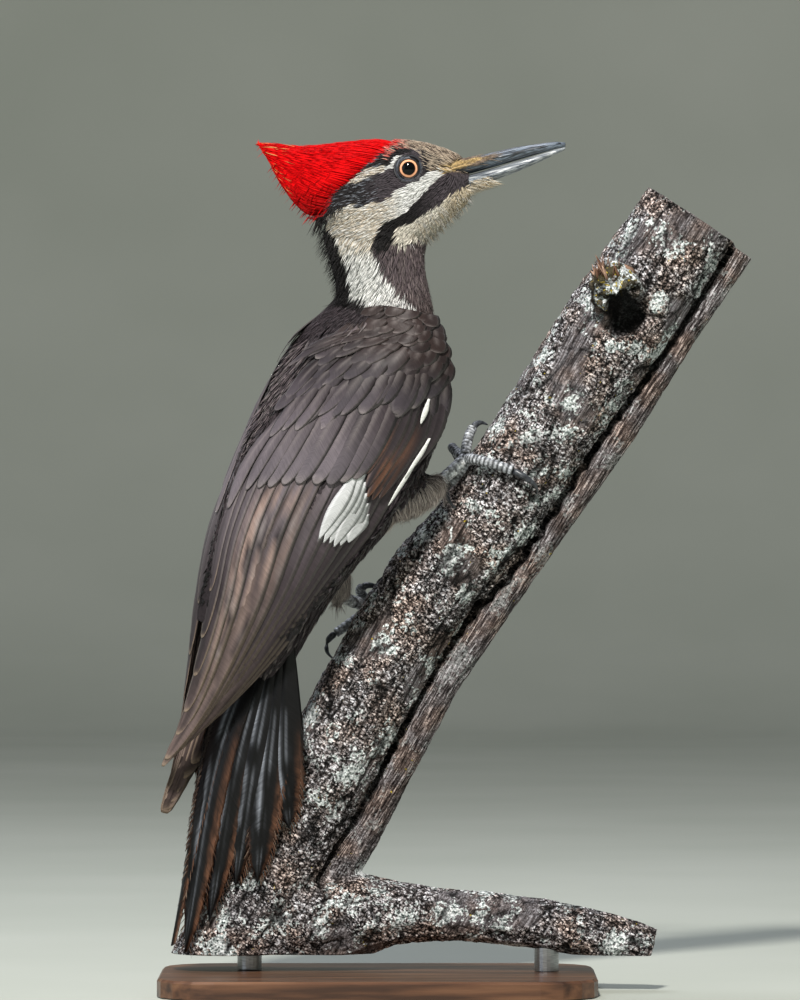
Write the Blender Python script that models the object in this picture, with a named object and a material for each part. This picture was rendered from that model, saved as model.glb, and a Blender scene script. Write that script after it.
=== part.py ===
"""A pileated woodpecker, life size, clinging to a cut length of dead limb on a display stand.

Blender 4.5, metres, +Z up. The bird faces +X. The origin is the middle of the base's underside.
Sizes in the tables are millimetres, and one function turns them to metres.

Three frames carry the shapes:
- BODY: along the trunk (towards the head), dorsal, and to the bird's right.
- the profile plane of the turned head: X forwards, Z up, with a half width either side.
- LIMB: along the limb, round it, and out from its bark, which is how the toes are placed.
"""

import math

import bmesh
import bpy
from mathutils import Matrix, Vector

MM = 0.001
GAP = 0.00035  # clearance between neighbouring solids
BILL_GAP = 0.0006

# ---------------------------------------------------------------- driving dimensions, millimetres
TRUNK_CENTRE = Vector((-17.6, -22.0, 240.3))
TRUNK_UP = Vector((0.404, -0.105, 0.909)).normalized()  # leans 24 degrees, as the limb does
BIRD_RIGHT = Vector((0.412, -0.866, -0.283))  # the back is turned 30 degrees from true profile
BIRD_RIGHT = (BIRD_RIGHT - TRUNK_UP * BIRD_RIGHT.dot(TRUNK_UP)).normalized()
DORSAL = BIRD_RIGHT.cross(TRUNK_UP)

HEAD_Y = -34.0  # the profile plane of the head
EYE = (13.8, 366.9)
EYE_RADIUS = 6.0
EYE_SPACING = 10.6  # from the middle plane to each eye's centre

BASE_SIZE = (196.0, 124.0, 8.0)
BASE_CORNER = 26.0
ROD_RADIUS = 5.5
LIMB_FOOT_Z = 15.5  # height of the limb's sawn lower end
LIMB_RINGS = 15
ROD_PLACES = {"stand_rod_foot": (-58.0, 18.0), "stand_rod_twig": (76.0, 6.6)}

# Stations of the trunk: along, dorsal offset, half depth, half width.
TRUNK_STATIONS = [
    (86, 10, 10, 11),
    (78, 8, 17, 18),
    (68, 4.5, 22.5, 23),
    (54, 3, 31.5, 28),
    (38, 1.5, 37.5, 30),
    (18, 0.5, 40.5, 31),
    (-2, 1, 40.5, 32),
    (-22, 2.75, 38.25, 30.5),
    (-42, 4, 32, 27),
    (-62, 2, 25, 23),
    (-82, -3, 17, 19),
    (-98, -8, 10, 14),
    (-110, -10, 5, 9),
]

# Rings in the head's profile plane: top X, Z; bottom X, Z; half width.
HEAD_RINGS = [
    (40.4, 371.5, 42.6, 358.4, 6.6),
    (36.0, 374.2, 39.5, 351.3, 8.8),
    (28.3, 377.5, 34.5, 346.9, 11.6),
    (18.9, 380.0, 27.8, 340.0, 14.6),
    (9.5, 380.9, 21.0, 334.4, 16.8),
    (0.8, 380.5, 12.5, 330.5, 18.0),
    (-9.0, 376.5, 2.0, 328.5, 17.6),
    (-18.5, 367.5, -11.0, 330.5, 14.5),
    (-25.0, 357.0, -20.5, 336.0, 9.0),
]
CREST_RINGS = [
    (12.0, 379.6, 4.0, 366.0, 9.0),
    (1.0, 380.9, -5.0, 357.0, 13.5),
    (-12.0, 379.7, -15.0, 348.0, 14.5),
    (-23.5, 378.5, -24.0, 343.5, 11.5),
    (-32.5, 377.7, -31.0, 345.0, 8.0),
    (-39.0, 378.2, -37.4, 352.5, 5.2),
    (-44.8, 379.0, -43.8, 362.0, 3.2),
    (-49.5, 379.2, -49.0, 372.5, 1.8),
    (-52.6, 379.1, -52.5, 377.4, 0.8),
]
NECK_RINGS = [
    (-18.0, 290.0, 22.0, 284.0, 24.0),
    (-17.2, 301.0, 25.5, 296.5, 21.0),
    (-17.8, 310.0, 24.3, 308.5, 17.8),
    (-18.9, 319.0, 21.6, 319.0, 16.2),
    (-21.8, 329.0, 20.8, 328.5, 16.2),
    (-24.5, 338.5, 22.5, 336.0, 17.0),
    (-22.0, 350.0, 18.0, 350.0, 14.0),
]
BILL_UPPER_RINGS = [
    (31.8, 368.9, 29.1, 362.7, 9.9),
    (35.8, 371.2, 33.4, 363.4, 9.0),
    (41.2, 372.2, 39.4, 364.9, 7.5),
    (50.0, 374.6, 48.7, 367.5, 6.1),
    (61.2, 377.2, 59.8, 370.7, 4.8),
    (72.3, 378.8, 71.4, 374.2, 3.4),
    (79.4, 379.6, 79.0, 376.5, 2.3),
    (83.5, 379.2, 83.6, 377.5, 1.2),
]
BILL_LOWER_RINGS = [
    (29.1, 362.2, 31.0, 358.6, 9.8),
    (34.0, 362.9, 36.3, 356.9, 8.6),
    (39.8, 364.4, 41.6, 358.5, 7.1),
    (49.2, 367.0, 50.5, 361.6, 5.7),
    (60.3, 370.2, 61.2, 365.6, 4.4),
    (71.6, 373.7, 72.3, 370.5, 3.1),
    (79.0, 376.0, 79.4, 373.9, 2.1),
    (83.4, 377.0, 83.6, 376.0, 1.1),
]

# Where the body is parted: a point of the profile plane (X, Z), and the cut's normal.
NECK_CUT = ((4.0, 304.5), (-0.26, 0.06, 0.96))
HEAD_CUT = ((-2.0, 337.0), (0.02, 0.0, 1.0))
CREST_CUT = ((-6.0, 366.0), (-0.66, 0.0, 0.75))

# Folded wing, outer surface, bird's right side: four points across each station, from the edge over
# the back to the leading edge, each (along, dorsal, out to the side).
WING_STATIONS = [
    ((70, 22, 14), (73, 16, 22), (75, 6, 26), (76, -5, 22)),
    ((58, 28, 13), (61, 18, 24), (65, 6, 34.5), (66, -12, 33)),
    ((40, 38.5, 12), (44, 27, 26), (48, 9, 40), (52, -18, 38.5)),
    ((10, 43.5, 8), (14, 34, 24.5), (20, 12, 43), (31, -24, 39)),
    ((-20, 47, 1.5), (-14, 37, 22), (-8, 13, 42), (9, -20.5, 38)),
    ((-50, 43.5, 0.6), (-44, 38, 21), (-36, 13.5, 37), (-20, -16, 36)),
    ((-80, 36, 0.6), (-74, 32.5, 19), (-64, 13, 32), (-52, -7, 32)),
    ((-110, 29, 0.6), (-104, 26, 13), (-96, 13.5, 23), (-88, -0.5, 25)),
    ((-137, 23.5, 0.6), (-133, 21, 7), (-128, 14.5, 12.5), (-122, 6, 13)),
    ((-157, 21, 1), (-158.5, 20.5, 3), (-158.5, 19, 4), (-157, 18, 4.5)),
]
WING_EDGE = 0.4  # how near the two wings come to the middle plane
WING_THICKNESS = (12.0, 14.0, 16.0, 16.0, 14.0, 9.0, 5.0, 2.8, 1.8, 1.0)  # one for each station
# How the left wing's tip lies against the right's: along, dorsal, and dorsal again at its leading edge.
LEFT_WING_SHIFT = (-21.0, -9.5, -8.0)

# Tail feathers from the bird's left to its right: tip (along the limb, degrees round it), then the
# middle of the shaft (along, dorsal, side).
TAIL_FEATHERS = [
    ((84, -10), (-134, -9, -21)),
    ((56, -3), (-139, -6.5, -17.5)),
    ((40, 10), (-140, -5.5, -13)),
    ((24, 22), (-141, -5, -7.5)),
    ((8, 33), (-144, -5.5, -1.5)),
    ((8.5, 49), (-144.5, -6, 3.5)),
    ((26, 53), (-141, -11, 9.5)),
    ((46, 60), (-139, -16, 14.5)),
    ((52, 80), (-138, -21, 18.5)),
    ((80, 80), (-132, -25, 21.5)),
]
TAIL_ROOT = (-84, -5.0)
TAIL_ROOT_SPREAD = 2.6  # between neighbouring feathers' roots
TAIL_ROOT_TENT = 0.9  # each root lies this far under its inner neighbour
TAIL_THICKNESS = 1.5
TAIL_EDGE = 7.0  # from the outer shafts to the tail's edges
TAIL_EDGE_SLOPE = (43.0, 24.0)  # degrees down from level, at the bird's right and left
TAIL_NOTCH = 0.80  # how far down two neighbours' shafts the notch between their tips lies
TAIL_ROWS = 7

# The limb's centreline, radius and depth, from its sawn foot to its sawn top: X, Z, radius, Y.
LIMB_LINE = [
    (-75.0, 2.0, 23.5, 18.5),
    (-60.3, 28.9, 22.8, 18.0),
    (-35.2, 74.3, 21.8, 16.5),
    (-8.5, 126.4, 22.0, 14.0),
    (25.0, 183.5, 22.3, 10.0),
    (43.4, 202.5, 22.6, 8.5),
    (81.2, 260.3, 23.0, 5.5),
    (111.9, 304.0, 25.2, 3.5),
    (141.3, 348.4, 23.4, 2.0),
]
STRIP_LINE = [
    (-30.0, 30.0, 13.0, 18.0),
    (-14.0, 60.0, 9.8, 16.5),
    (-2.7, 75.0, 8.0, 16.0),
    (21.6, 122.0, 7.4, 13.0),
    (43.8, 158.0, 7.2, 10.5),
    (101.2, 238.0, 7.2, 6.0),
    (134.6, 290.0, 6.6, 3.5),
    (163.5, 332.0, 6.2, 2.0),
]
TWIG_LINE = [
    (-48.0, 26.0, 18.0, 17.0),
    (-20.0, 31.0, 21.0, 15.0),
    (-2.0, 34.0, 18.0, 13.0),
    (14.0, 34.0, 13.2, 11.0),
    (38.0, 33.0, 11.8, 9.0),
    (62.0, 31.0, 11.8, 7.5),
    (88.0, 27.0, 11.4, 6.0),
    (112.0, 21.5, 10.6, 5.0),
    (124.0, 18.5, 9.0, 4.5),
]
KNOT_LINE = [
    (111.0, 307.0, 16.0, -2.0),
    (108.0, 310.5, 13.5, -18.0),
    (105.0, 316.5, 12.0, -29.0),
    (103.5, 319.0, 9.0, -33.0),
]

# Legs. Thigh and shank points are X, Y, Z, and the shank ends at the foot on the limb. A toe's points,
# and then its claw's, are along the limb, degrees round it from its upper edge, and height over it.
LEGS = {
    "right": {
        "thigh": [(0, -18, 222), (12, -22, 221.5), (21.5, -19.5, 224.5), (28.8, -15.2, 229)],
        "shank": [(25.5, -17.5, 226.8), (33, -11.8, 233)],
        "foot": (263, 31, 4.6),
        "outer": [(263.4, 35, 4.8), (265.4, 48, 5.4), (267.8, 64, 4.6), (270.3, 84, 3.6),
                  (270.8, 98, 5.0), (270, 112, 3.4), (267.5, 121, 0.5)],
        "upper": [(264, 29, 4.8), (268, 18, 4.7), (272.5, 9, 5.3), (276, 4, 5.4),
                  (278.6, 1, 4.8), (280.2, -3, 3.0), (280.6, -7, 0.5)],
        "inner": [(262.6, 27, 5.0), (262.8, 18, 6.0), (263.2, 10, 7.6), (263.6, 4, 8.6),
                  (263, -2, 8.6), (260.5, -7, 5.4), (257, -10, 0.5)],
        "hind": [(261.6, 32, 4.2), (257.5, 33, 3.9), (253.5, 32, 4.0), (250, 32, 4.2),
                 (246, 35, 5.0), (243, 43, 3.4), (242, 50, 0.5)],
    },
    "left": {
        "thigh": [(-26, 4, 206), (-23, 10, 195), (-19.5, 15, 184), (-16.5, 19.4, 176.5)],
        "shank": [(-18.2, 17.6, 179), (-12.5, 22, 174.8)],
        "foot": (182, -50, 5.0),
        "outer": [(182.6, -53, 5.0), (184.6, -70, 5.4), (186.4, -88, 4.6), (187.4, -104, 3.6),
                  (187.6, -118, 4.8), (186.4, -131, 3.2), (184, -140, 0.5)],
        "upper": [(182.8, -46, 5.6), (183.8, -38, 7.4), (185.6, -32, 8.4), (187.8, -30, 7.8),
                  (189.9, -32, 6.0), (191.2, -37, 3.2), (191.6, -42, 0.5)],
        "inner": [(183.4, -50, 4.6), (188, -53, 4.8), (193, -57, 4.6), (198, -60, 3.6),
                  (202, -61, 4.4), (205.5, -61, 2.8), (207.5, -60, 0.5)],
        "hind": [(180.8, -49, 4.8), (175, -43, 5.4), (169, -35, 6.4), (164.5, -30, 7.6),
                 (159.5, -30, 9.4), (155, -28.5, 6.4), (154, -26, 0.5)],
    },
}
TOES = ("outer", "upper", "inner", "hind")
TOE_RADII = (2.5, 2.6, 2.35, 2.5, 2.15, 2.3, 1.9)
CLAW_RADII = (1.75, 1.75, 1.55, 1.3, 0.95, 0.6, 0.3)

# Colours as the plumage and the stand show them: sRGB, roughness, metallic.
FINISHES = {
    "plumage_black": ((0.16, 0.145, 0.15), 0.6, 0.0),
    "face_pattern": ((0.62, 0.59, 0.54), 0.7, 0.0),
    "crest_red": ((0.80, 0.04, 0.03), 0.5, 0.0),
    "bill_horn": ((0.36, 0.38, 0.43), 0.35, 0.0),
    "eye": ((0.05, 0.03, 0.02), 0.05, 0.0),
    "foot_scale": ((0.36, 0.36, 0.37), 0.6, 0.0),
    "claw_horn": ((0.26, 0.25, 0.26), 0.3, 0.0),
    "bark": ((0.45, 0.41, 0.38), 0.95, 0.0),
    "stand_wood": ((0.20, 0.14, 0.10), 0.4, 0.0),
    "stand_steel": ((0.55, 0.55, 0.56), 0.3, 1.0),
}


# ---------------------------------------------------------------- helpers
def clear_scene():
    for obj in list(bpy.data.objects):
        bpy.data.objects.remove(obj)


def body_point(along, dorsal, side):
    """A point in the trunk's frame, in metres in the world."""
    return (TRUNK_CENTRE + TRUNK_UP * along + DORSAL * dorsal + BIRD_RIGHT * side) * MM


def profile_point(x, z):
    """A point in the middle plane of the turned head."""
    return Vector((x, HEAD_Y, z)) * MM


def smooth_rows(rows, count):
    """Catmull-Rom through rows of numbers, read at count even steps."""
    rows = [Vector(row) for row in rows]
    rows = [rows[0] * 2 - rows[1]] + rows + [rows[-1] * 2 - rows[-2]]
    spans = len(rows) - 3
    found = []
    for step in range(count):
        place = step / (count - 1) * spans
        i = min(int(place), spans - 1)
        t = place - i
        a, b, c, d = rows[i : i + 4]
        found.append(
            (b * 2 + (c - a) * t + (a * 2 - b * 5 + c * 4 - d) * t**2 + (b * 3 - a - c * 3 + d) * t**3) / 2
        )
    return found


def ring(centre, across, up, half_across, half_up, sides, roundness=2.0):
    """Points round a superellipse. Roundness 2 is an ellipse, and more is boxier."""
    power = 2.0 / roundness
    points = []
    for k in range(sides):
        angle = math.tau * k / sides
        c, s = math.cos(angle), math.sin(angle)
        points.append(
            centre
            + across * (half_across * math.copysign(abs(c) ** power, c))
            + up * (half_up * math.copysign(abs(s) ** power, s))
        )
    return points


def finish_mesh(name, bm, finish):
    """Turns a bmesh to an object with its faces out, smooth shading and its own material."""
    bmesh.ops.remove_doubles(bm, verts=bm.verts, dist=1e-6)
    bmesh.ops.recalc_face_normals(bm, faces=bm.faces)
    mesh = bpy.data.meshes.new(name)
    bm.to_mesh(mesh)
    bm.free()
    mesh.shade_smooth()
    mesh.set_sharp_from_angle(angle=math.radians(50))
    obj = bpy.data.objects.new(name, mesh)
    bpy.context.scene.collection.objects.link(obj)
    obj.data.materials.append(material_of(finish))
    return obj


def material_of(finish):
    found = bpy.data.materials.get(finish)
    if found:
        return found
    colour, roughness, metallic = FINISHES[finish]
    material = bpy.data.materials.new(finish)
    material.use_nodes = True
    shader = material.node_tree.nodes["Principled BSDF"]
    shader.inputs["Base Color"].default_value = (*[c**2.2 for c in colour], 1.0)
    shader.inputs["Roughness"].default_value = roughness
    shader.inputs["Metallic"].default_value = metallic
    return material


def loft(name, rings, finish, sheet=False):
    """A closed solid through rings of points. A sheet's rings run down one face and back up the other."""
    bm = bmesh.new()
    rows = [[bm.verts.new(p) for p in points] for points in rings]
    sides = len(rows[0])
    for low, high in zip(rows, rows[1:]):
        for k in range(sides):
            bm.faces.new((low[k], low[(k + 1) % sides], high[(k + 1) % sides], high[k]))
    for row in (rows[0], rows[-1]):
        if sheet:
            for k in range(sides // 2 - 1):
                bm.faces.new((row[k], row[k + 1], row[sides - 2 - k], row[sides - 1 - k]))
            continue
        middle = bm.verts.new(sum((v.co for v in row), Vector()) / sides)
        for k in range(sides):
            bm.faces.new((row[k], row[(k + 1) % sides], middle))
    return finish_mesh(name, bm, finish)


def tube_rings(line, radii, sides, up):
    """Rings square to a line of points, with a radius at each."""
    rings = []
    for i, point in enumerate(line):
        way = (line[min(i + 1, len(line) - 1)] - line[max(i - 1, 0)]).normalized()
        across = way.cross(up).normalized()
        rings.append(ring(point, across, across.cross(way), radii[i], radii[i], sides))
    return rings


def tube(name, line, radii, sides, finish, up=Vector((0, -1, 0))):
    """A round solid along a line of points."""
    return loft(name, tube_rings(line, radii, sides, up), finish)


def boolean(target, cutter, operation):
    """Applies one EXACT Boolean to target, and leaves the cutter as it was."""
    modifier = target.modifiers.new(operation.lower(), "BOOLEAN")
    modifier.operation = operation
    modifier.object = cutter
    modifier.solver = "EXACT"
    bpy.context.view_layer.update()
    graph = bpy.context.evaluated_depsgraph_get()
    mesh = bpy.data.meshes.new_from_object(target.evaluated_get(graph))
    target.modifiers.clear()
    target.data = mesh
    return target


def remove(*objects):
    for obj in objects:
        bpy.data.objects.remove(obj)


def copy_of(obj, name):
    copy = obj.copy()
    copy.data = obj.data.copy()
    copy.name = name
    bpy.context.scene.collection.objects.link(copy)
    return copy


def swollen(obj, by=GAP):
    """A copy of obj grown along its normals, to cut its neighbour with room to spare."""
    copy = copy_of(obj, "cutter")
    normals = [v.normal.copy() for v in copy.data.vertices]
    for vertex, normal in zip(copy.data.vertices, normals):
        vertex.co += normal * by
    return copy


def make_room(target, *neighbours, by=GAP):
    """Cuts each neighbour out of target, with the clearance."""
    for neighbour in neighbours:
        cutter = swollen(neighbour, by)
        boolean(target, cutter, "DIFFERENCE")
        remove(cutter)
    return target


def join(target, *others):
    """Boolean union of others into target."""
    for other in others:
        boolean(target, other, "UNION")
        remove(other)
    return target


def half_space(origin, normal, size=0.5):
    """A big box whose one face passes through origin, the box lying on the normal's side."""
    bm = bmesh.new()
    bmesh.ops.create_cube(bm, size=size)
    bmesh.ops.translate(bm, vec=(0, 0, size / 2), verts=bm.verts)
    turn = normal.normalized().to_track_quat("Z", "Y").to_matrix().to_4x4()
    bmesh.ops.transform(bm, matrix=Matrix.Translation(origin) @ turn, verts=bm.verts)
    return finish_mesh("half_space", bm, "bark")


def part_by_plane(whole, name, place, normal, finish):
    """Cuts whole at a plane. What lies on the normal's side becomes a new node, a gap away."""
    origin, normal = profile_point(*place), Vector(normal).normalized()
    piece = copy_of(whole, name)
    below = half_space(origin + normal * GAP / 2, -normal)
    above = half_space(origin - normal * GAP / 2, normal)
    boolean(piece, below, "DIFFERENCE")
    boolean(whole, above, "DIFFERENCE")
    remove(below, above)
    piece.data.materials.clear()
    piece.data.materials.append(material_of(finish))
    return piece


# ---------------------------------------------------------------- head, neck and trunk
def profile_rings(table, count, sides, roundness=2.0):
    """Rings standing across the head's profile plane, from rows of top, bottom and half width."""
    rings = []
    for top_x, top_z, low_x, low_z, half in smooth_rows(table, count):
        top, low = profile_point(top_x, top_z), profile_point(low_x, low_z)
        up = (top - low) / 2
        rings.append(
            ring((top + low) / 2, Vector((0, -1, 0)), up.normalized(), half * MM, up.length, sides, roundness)
        )
    return rings


def trunk_form():
    rings = []
    for along, dorsal, depth, width in smooth_rows(TRUNK_STATIONS, 15):
        centre = body_point(along, dorsal, 0)
        rings.append(ring(centre, BIRD_RIGHT, DORSAL, width * MM, depth * MM, 20, 2.1))
    return loft("trunk_form", rings, "plumage_black")


def neck_form():
    return loft("neck_form", profile_rings(NECK_RINGS, 7, 16), "face_pattern")


def make_flesh(trunk_shape, neck_shape):
    """Head, crest, neck and trunk: one body, parted by thin flat cuts."""
    trunk = copy_of(trunk_shape, "trunk")
    head = loft("head_form", profile_rings(HEAD_RINGS, 10, 16, 2.1), "face_pattern")
    crest = loft("crest_form", profile_rings(CREST_RINGS, 9, 12), "crest_red")
    join(trunk, copy_of(neck_shape, "neck_copy"), head, crest)
    neck = part_by_plane(trunk, "neck", *NECK_CUT, "face_pattern")
    head = part_by_plane(neck, "head", *HEAD_CUT, "face_pattern")
    part_by_plane(head, "crest", *CREST_CUT, "crest_red")
    return head


def make_bill(head):
    upper = loft("bill_upper", profile_rings(BILL_UPPER_RINGS, 8, 10, 1.8), "bill_horn")
    lower = loft("bill_lower", profile_rings(BILL_LOWER_RINGS, 8, 10, 1.9), "bill_horn")
    make_room(head, upper, lower, by=BILL_GAP)


def make_eyes(head):
    for side, sign in (("right", -1), ("left", 1)):
        bm = bmesh.new()
        bmesh.ops.create_uvsphere(bm, u_segments=14, v_segments=8, radius=EYE_RADIUS * MM)
        centre = Vector((EYE[0], HEAD_Y + sign * EYE_SPACING, EYE[1])) * MM
        turn = Matrix.Rotation(math.radians(90), 4, "X")
        bmesh.ops.transform(bm, matrix=Matrix.Translation(centre) @ turn, verts=bm.verts)
        make_room(head, finish_mesh(f"eye_{side}", bm, "eye"))


# ---------------------------------------------------------------- wings and tail
def wing_surface(along_count, across_count, side):
    """The folded wing's outer surface as rows of points, edge over the back to leading edge."""
    lines = []
    for corner in range(4):
        lines.append(smooth_rows([station[corner] for station in WING_STATIONS], along_count))
    rows = []
    for i in range(along_count):
        across = smooth_rows([line[i] for line in lines], across_count)
        late = 0.0 if side > 0 else (i / (along_count - 1)) ** 2
        slide, sink, droop = (shift * late for shift in LEFT_WING_SHIFT)
        row = []
        for k, p in enumerate(across):
            lower = sink + droop * k / (across_count - 1)
            row.append(body_point(p.x + slide, p.y + lower, side * p.z))
        rows.append(row)
    return rows


def wing_form(name, side):
    """A curved plate, thick over the trunk, which is later cut out of it, and thin past it."""
    rows = wing_surface(17, 8, side)
    depths = smooth_rows([(t, 0) for t in WING_THICKNESS], len(rows))
    rings = []
    for i, outer in enumerate(rows):
        before, after = rows[max(i - 1, 0)], rows[min(i + 1, len(rows) - 1)]
        inner = []
        for k, point in enumerate(outer):
            way = after[k] - before[k]
            across = outer[min(k + 1, len(outer) - 1)] - outer[max(k - 1, 0)]
            inward = across.cross(way).normalized() * side
            edge = min(k, len(outer) - 1 - k) / 2
            taper = min(1.0, 0.3 + 0.7 * edge)
            under = point + inward * depths[i].x * taper * MM
            reach = (under - TRUNK_CENTRE * MM).dot(BIRD_RIGHT) * side
            inner.append(under + BIRD_RIGHT * side * max(0.0, WING_EDGE * MM - reach))
        rings.append(outer + inner[::-1])
    return loft(name, rings, "plumage_black", sheet=True)


def tail_shafts(frame):
    """Each feather's shaft from its root, bowed over the limb, to its tip on the bark."""
    middle = (len(TAIL_FEATHERS) - 1) / 2
    shafts = []
    for i, ((along, degrees), bend) in enumerate(TAIL_FEATHERS):
        place = i - middle
        root = body_point(TAIL_ROOT[0], TAIL_ROOT[1] - TAIL_ROOT_TENT * abs(place), TAIL_ROOT_SPREAD * place)
        shafts.append(smooth_rows([root, body_point(*bend), on_limb(frame, along, degrees, 1.6)], 61))
    return shafts


def tail_columns(frame):
    """Lines down the tail: edge, tip, notch, tip ... edge, each from the root to the saw-toothed end."""
    shafts = tail_shafts(frame)

    def reading(shaft, part):
        return [shaft[round(60 * part * row / (TAIL_ROWS - 1))] for row in range(TAIL_ROWS)]

    def edge(shaft, side, degrees):
        slope = math.radians(degrees)
        out = BIRD_RIGHT * side * math.cos(slope) - DORSAL * math.sin(slope)
        spread = (0.25, 0.7, 0.95, 1.0, 0.95, 0.75, 0.35)
        return [p + out * TAIL_EDGE * MM * wide for p, wide in zip(reading(shaft, 0.9), spread)]

    columns = [edge(shafts[0], -1, TAIL_EDGE_SLOPE[1])]
    for shaft, following in zip(shafts, shafts[1:]):
        columns.append(reading(shaft, 1.0))
        pair = zip(reading(shaft, TAIL_NOTCH), reading(following, TAIL_NOTCH))
        columns.append([(a + b) / 2 for a, b in pair])
    columns.append(reading(shafts[-1], 1.0))
    columns.append(edge(shafts[-1], 1, TAIL_EDGE_SLOPE[0]))
    return columns


def make_tail(frame, *neighbours):
    """One thin tented fan with a tooth for each feather's tip."""
    columns = tail_columns(frame)
    rings = []
    for i, lower in enumerate(columns):
        before, after = columns[max(i - 1, 0)], columns[min(i + 1, len(columns) - 1)]
        upper = []
        for k, point in enumerate(lower):
            down = lower[min(k + 1, TAIL_ROWS - 1)] - lower[max(k - 1, 0)]
            outward = down.cross(after[k] - before[k]).normalized()
            upper.append(point + outward * TAIL_THICKNESS * MM)
        rings.append(lower + upper[::-1])
    return make_room(loft("tail", rings, "plumage_black", sheet=True), *neighbours)


# ---------------------------------------------------------------- limb and stand
def limb_line(table, count):
    """Points and radii along a table of X, Z, radius, Y."""
    rows = smooth_rows(table, count)
    return [Vector((x, y, z)) * MM for x, z, _, y in rows], [radius * MM for _, _, radius, _ in rows]


def make_perch():
    """One piece of wood: the limb, the ridge grown along it, a side twig and a broken knot."""
    points, radii = limb_line(LIMB_LINE, LIMB_RINGS)
    perch = tube("perch", points, radii, 16, "bark")
    for name, table, count, sides in (
        ("strip", STRIP_LINE, 9, 8),
        ("twig", TWIG_LINE, 10, 10),
        ("knot", KNOT_LINE, 4, 9),
    ):
        points, radii = limb_line(table, count)
        join(perch, tube(name, points, radii, sides, "bark", Vector((0, -0.3, 1)).normalized()))
    below = half_space(Vector((0, 0, LIMB_FOOT_Z * MM)), Vector((0, 0, -1)), 0.8)
    boolean(perch, below, "DIFFERENCE")
    remove(below)
    return perch


def make_stand(perch):
    """A flat board with round corners, and two short rods that the wood sits on."""
    length, depth, height = (size * MM for size in BASE_SIZE)
    corner = BASE_CORNER * MM
    bm = bmesh.new()
    outline = []
    for cx, cy, start in ((1, 1, 0), (-1, 1, 90), (-1, -1, 180), (1, -1, 270)):
        for step in range(5):
            angle = math.radians(start + 22.5 * step)
            outline.append(
                bm.verts.new(
                    (
                        cx * (length / 2 - corner) + corner * math.cos(angle),
                        cy * (depth / 2 - corner) + corner * math.sin(angle),
                        0,
                    )
                )
            )
    bottom = bm.faces.new(outline)
    top = bmesh.ops.extrude_face_region(bm, geom=[bottom])["geom"]
    lifted = [v for v in top if isinstance(v, bmesh.types.BMVert)]
    bmesh.ops.translate(bm, vec=(0, 0, height), verts=lifted)
    rim = [e for e in bm.edges if all(v.co.z > height / 2 for v in e.verts)]
    bmesh.ops.bevel(bm, geom=rim, offset=1.2 * MM, segments=1, affect="EDGES", profile=0.5)
    finish_mesh("stand_base", bm, "stand_wood")
    for name, (x, y) in ROD_PLACES.items():
        foot = Vector((x * MM, y * MM, height + GAP))
        line = [foot, foot + Vector((0, 0, 22 * MM))]
        make_room(tube(name, line, [ROD_RADIUS * MM] * 2, 20, "stand_steel"), perch)


# ---------------------------------------------------------------- legs
def limb_frame(points, radii):
    """Lengths along the limb's centreline, for placing things on its bark."""
    lengths = [0.0]
    for a, b in zip(points, points[1:]):
        lengths.append(lengths[-1] + (b - a).length)
    return points, radii, lengths


def on_limb(frame, along, degrees, height):
    """A point over the bark: along the limb, round it from its upper edge towards -Y, and out."""
    points, radii, lengths = frame
    along *= MM
    i = next(k for k in range(1, len(lengths)) if lengths[k] >= along or k == len(lengths) - 1)
    t = (along - lengths[i - 1]) / (lengths[i] - lengths[i - 1])
    way = (points[i] - points[i - 1]).normalized()
    edge = Vector((0, -1, 0)).cross(way).normalized()
    angle = math.radians(degrees)
    out = edge * math.cos(angle) + way.cross(edge) * math.sin(angle)
    radius = radii[i - 1] + (radii[i] - radii[i - 1]) * t
    return points[i - 1].lerp(points[i], t) + out * (radius + height * MM)


def make_digit(side, toe, frame):
    """A toe and its claw, drawn as one taper over the bark and parted where the horn starts."""
    stops = LEGS[side][toe]
    joint = len(TOE_RADII) - 1
    line = [on_limb(frame, *stop) for stop in smooth_rows(stops, 2 * len(stops) - 1)]
    radii = [r * MM for r in TOE_RADII[:-1] + CLAW_RADII]
    rings = tube_rings(line, radii, 7, Vector((0.37, 0.33, 0.87)))
    way = (line[joint + 1] - line[joint]).normalized()
    root = [point + way * GAP for point in rings[joint]]
    claw = loft(f"claw_{side}_{toe}", [root] + rings[joint + 1 :], "claw_horn")
    return loft(f"toe_{side}_{toe}", rings[: joint + 1], "foot_scale"), claw


def make_leg(side, frame, trunk):
    """Feathered thigh, bare shank with four toes as one piece, and four claws."""
    plan = LEGS[side]
    thigh_line = smooth_rows([Vector(p) * MM for p in plan["thigh"]], 7)
    thigh_radii = [r * MM for r, _ in smooth_rows([(13, 0), (9.5, 0), (7.6, 0), (4.4, 0)], 7)]
    thigh = tube(f"thigh_{side}", thigh_line, thigh_radii, 12, "plumage_black")

    foot_point = on_limb(frame, *plan["foot"])
    ankle, middle = (Vector(p) * MM for p in plan["shank"])
    shank_line = [ankle, middle, middle.lerp(foot_point, 0.55), foot_point]
    foot = tube(f"foot_{side}", shank_line, [r * MM for r in (2.5, 2.9, 3.0, 3.3)], 9, "foot_scale")
    for toe in TOES:
        join(foot, make_digit(side, toe, frame)[0])
    return make_room(thigh, foot, trunk)


def main():
    clear_scene()
    trunk, neck = trunk_form(), neck_form()
    head = make_flesh(trunk, neck)
    make_bill(head)
    make_eyes(head)
    perch = make_perch()
    make_stand(perch)
    frame = limb_frame(*limb_line(LIMB_LINE, LIMB_RINGS))
    thighs = [make_leg(side, frame, trunk) for side in ("right", "left")]
    wings = [wing_form(f"wing_{name}", side) for name, side in (("right", 1), ("left", -1))]
    make_tail(frame, trunk, *wings, perch)
    for wing in wings:
        make_room(wing, trunk, neck, *thighs)
    remove(trunk, neck)


main()
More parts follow.
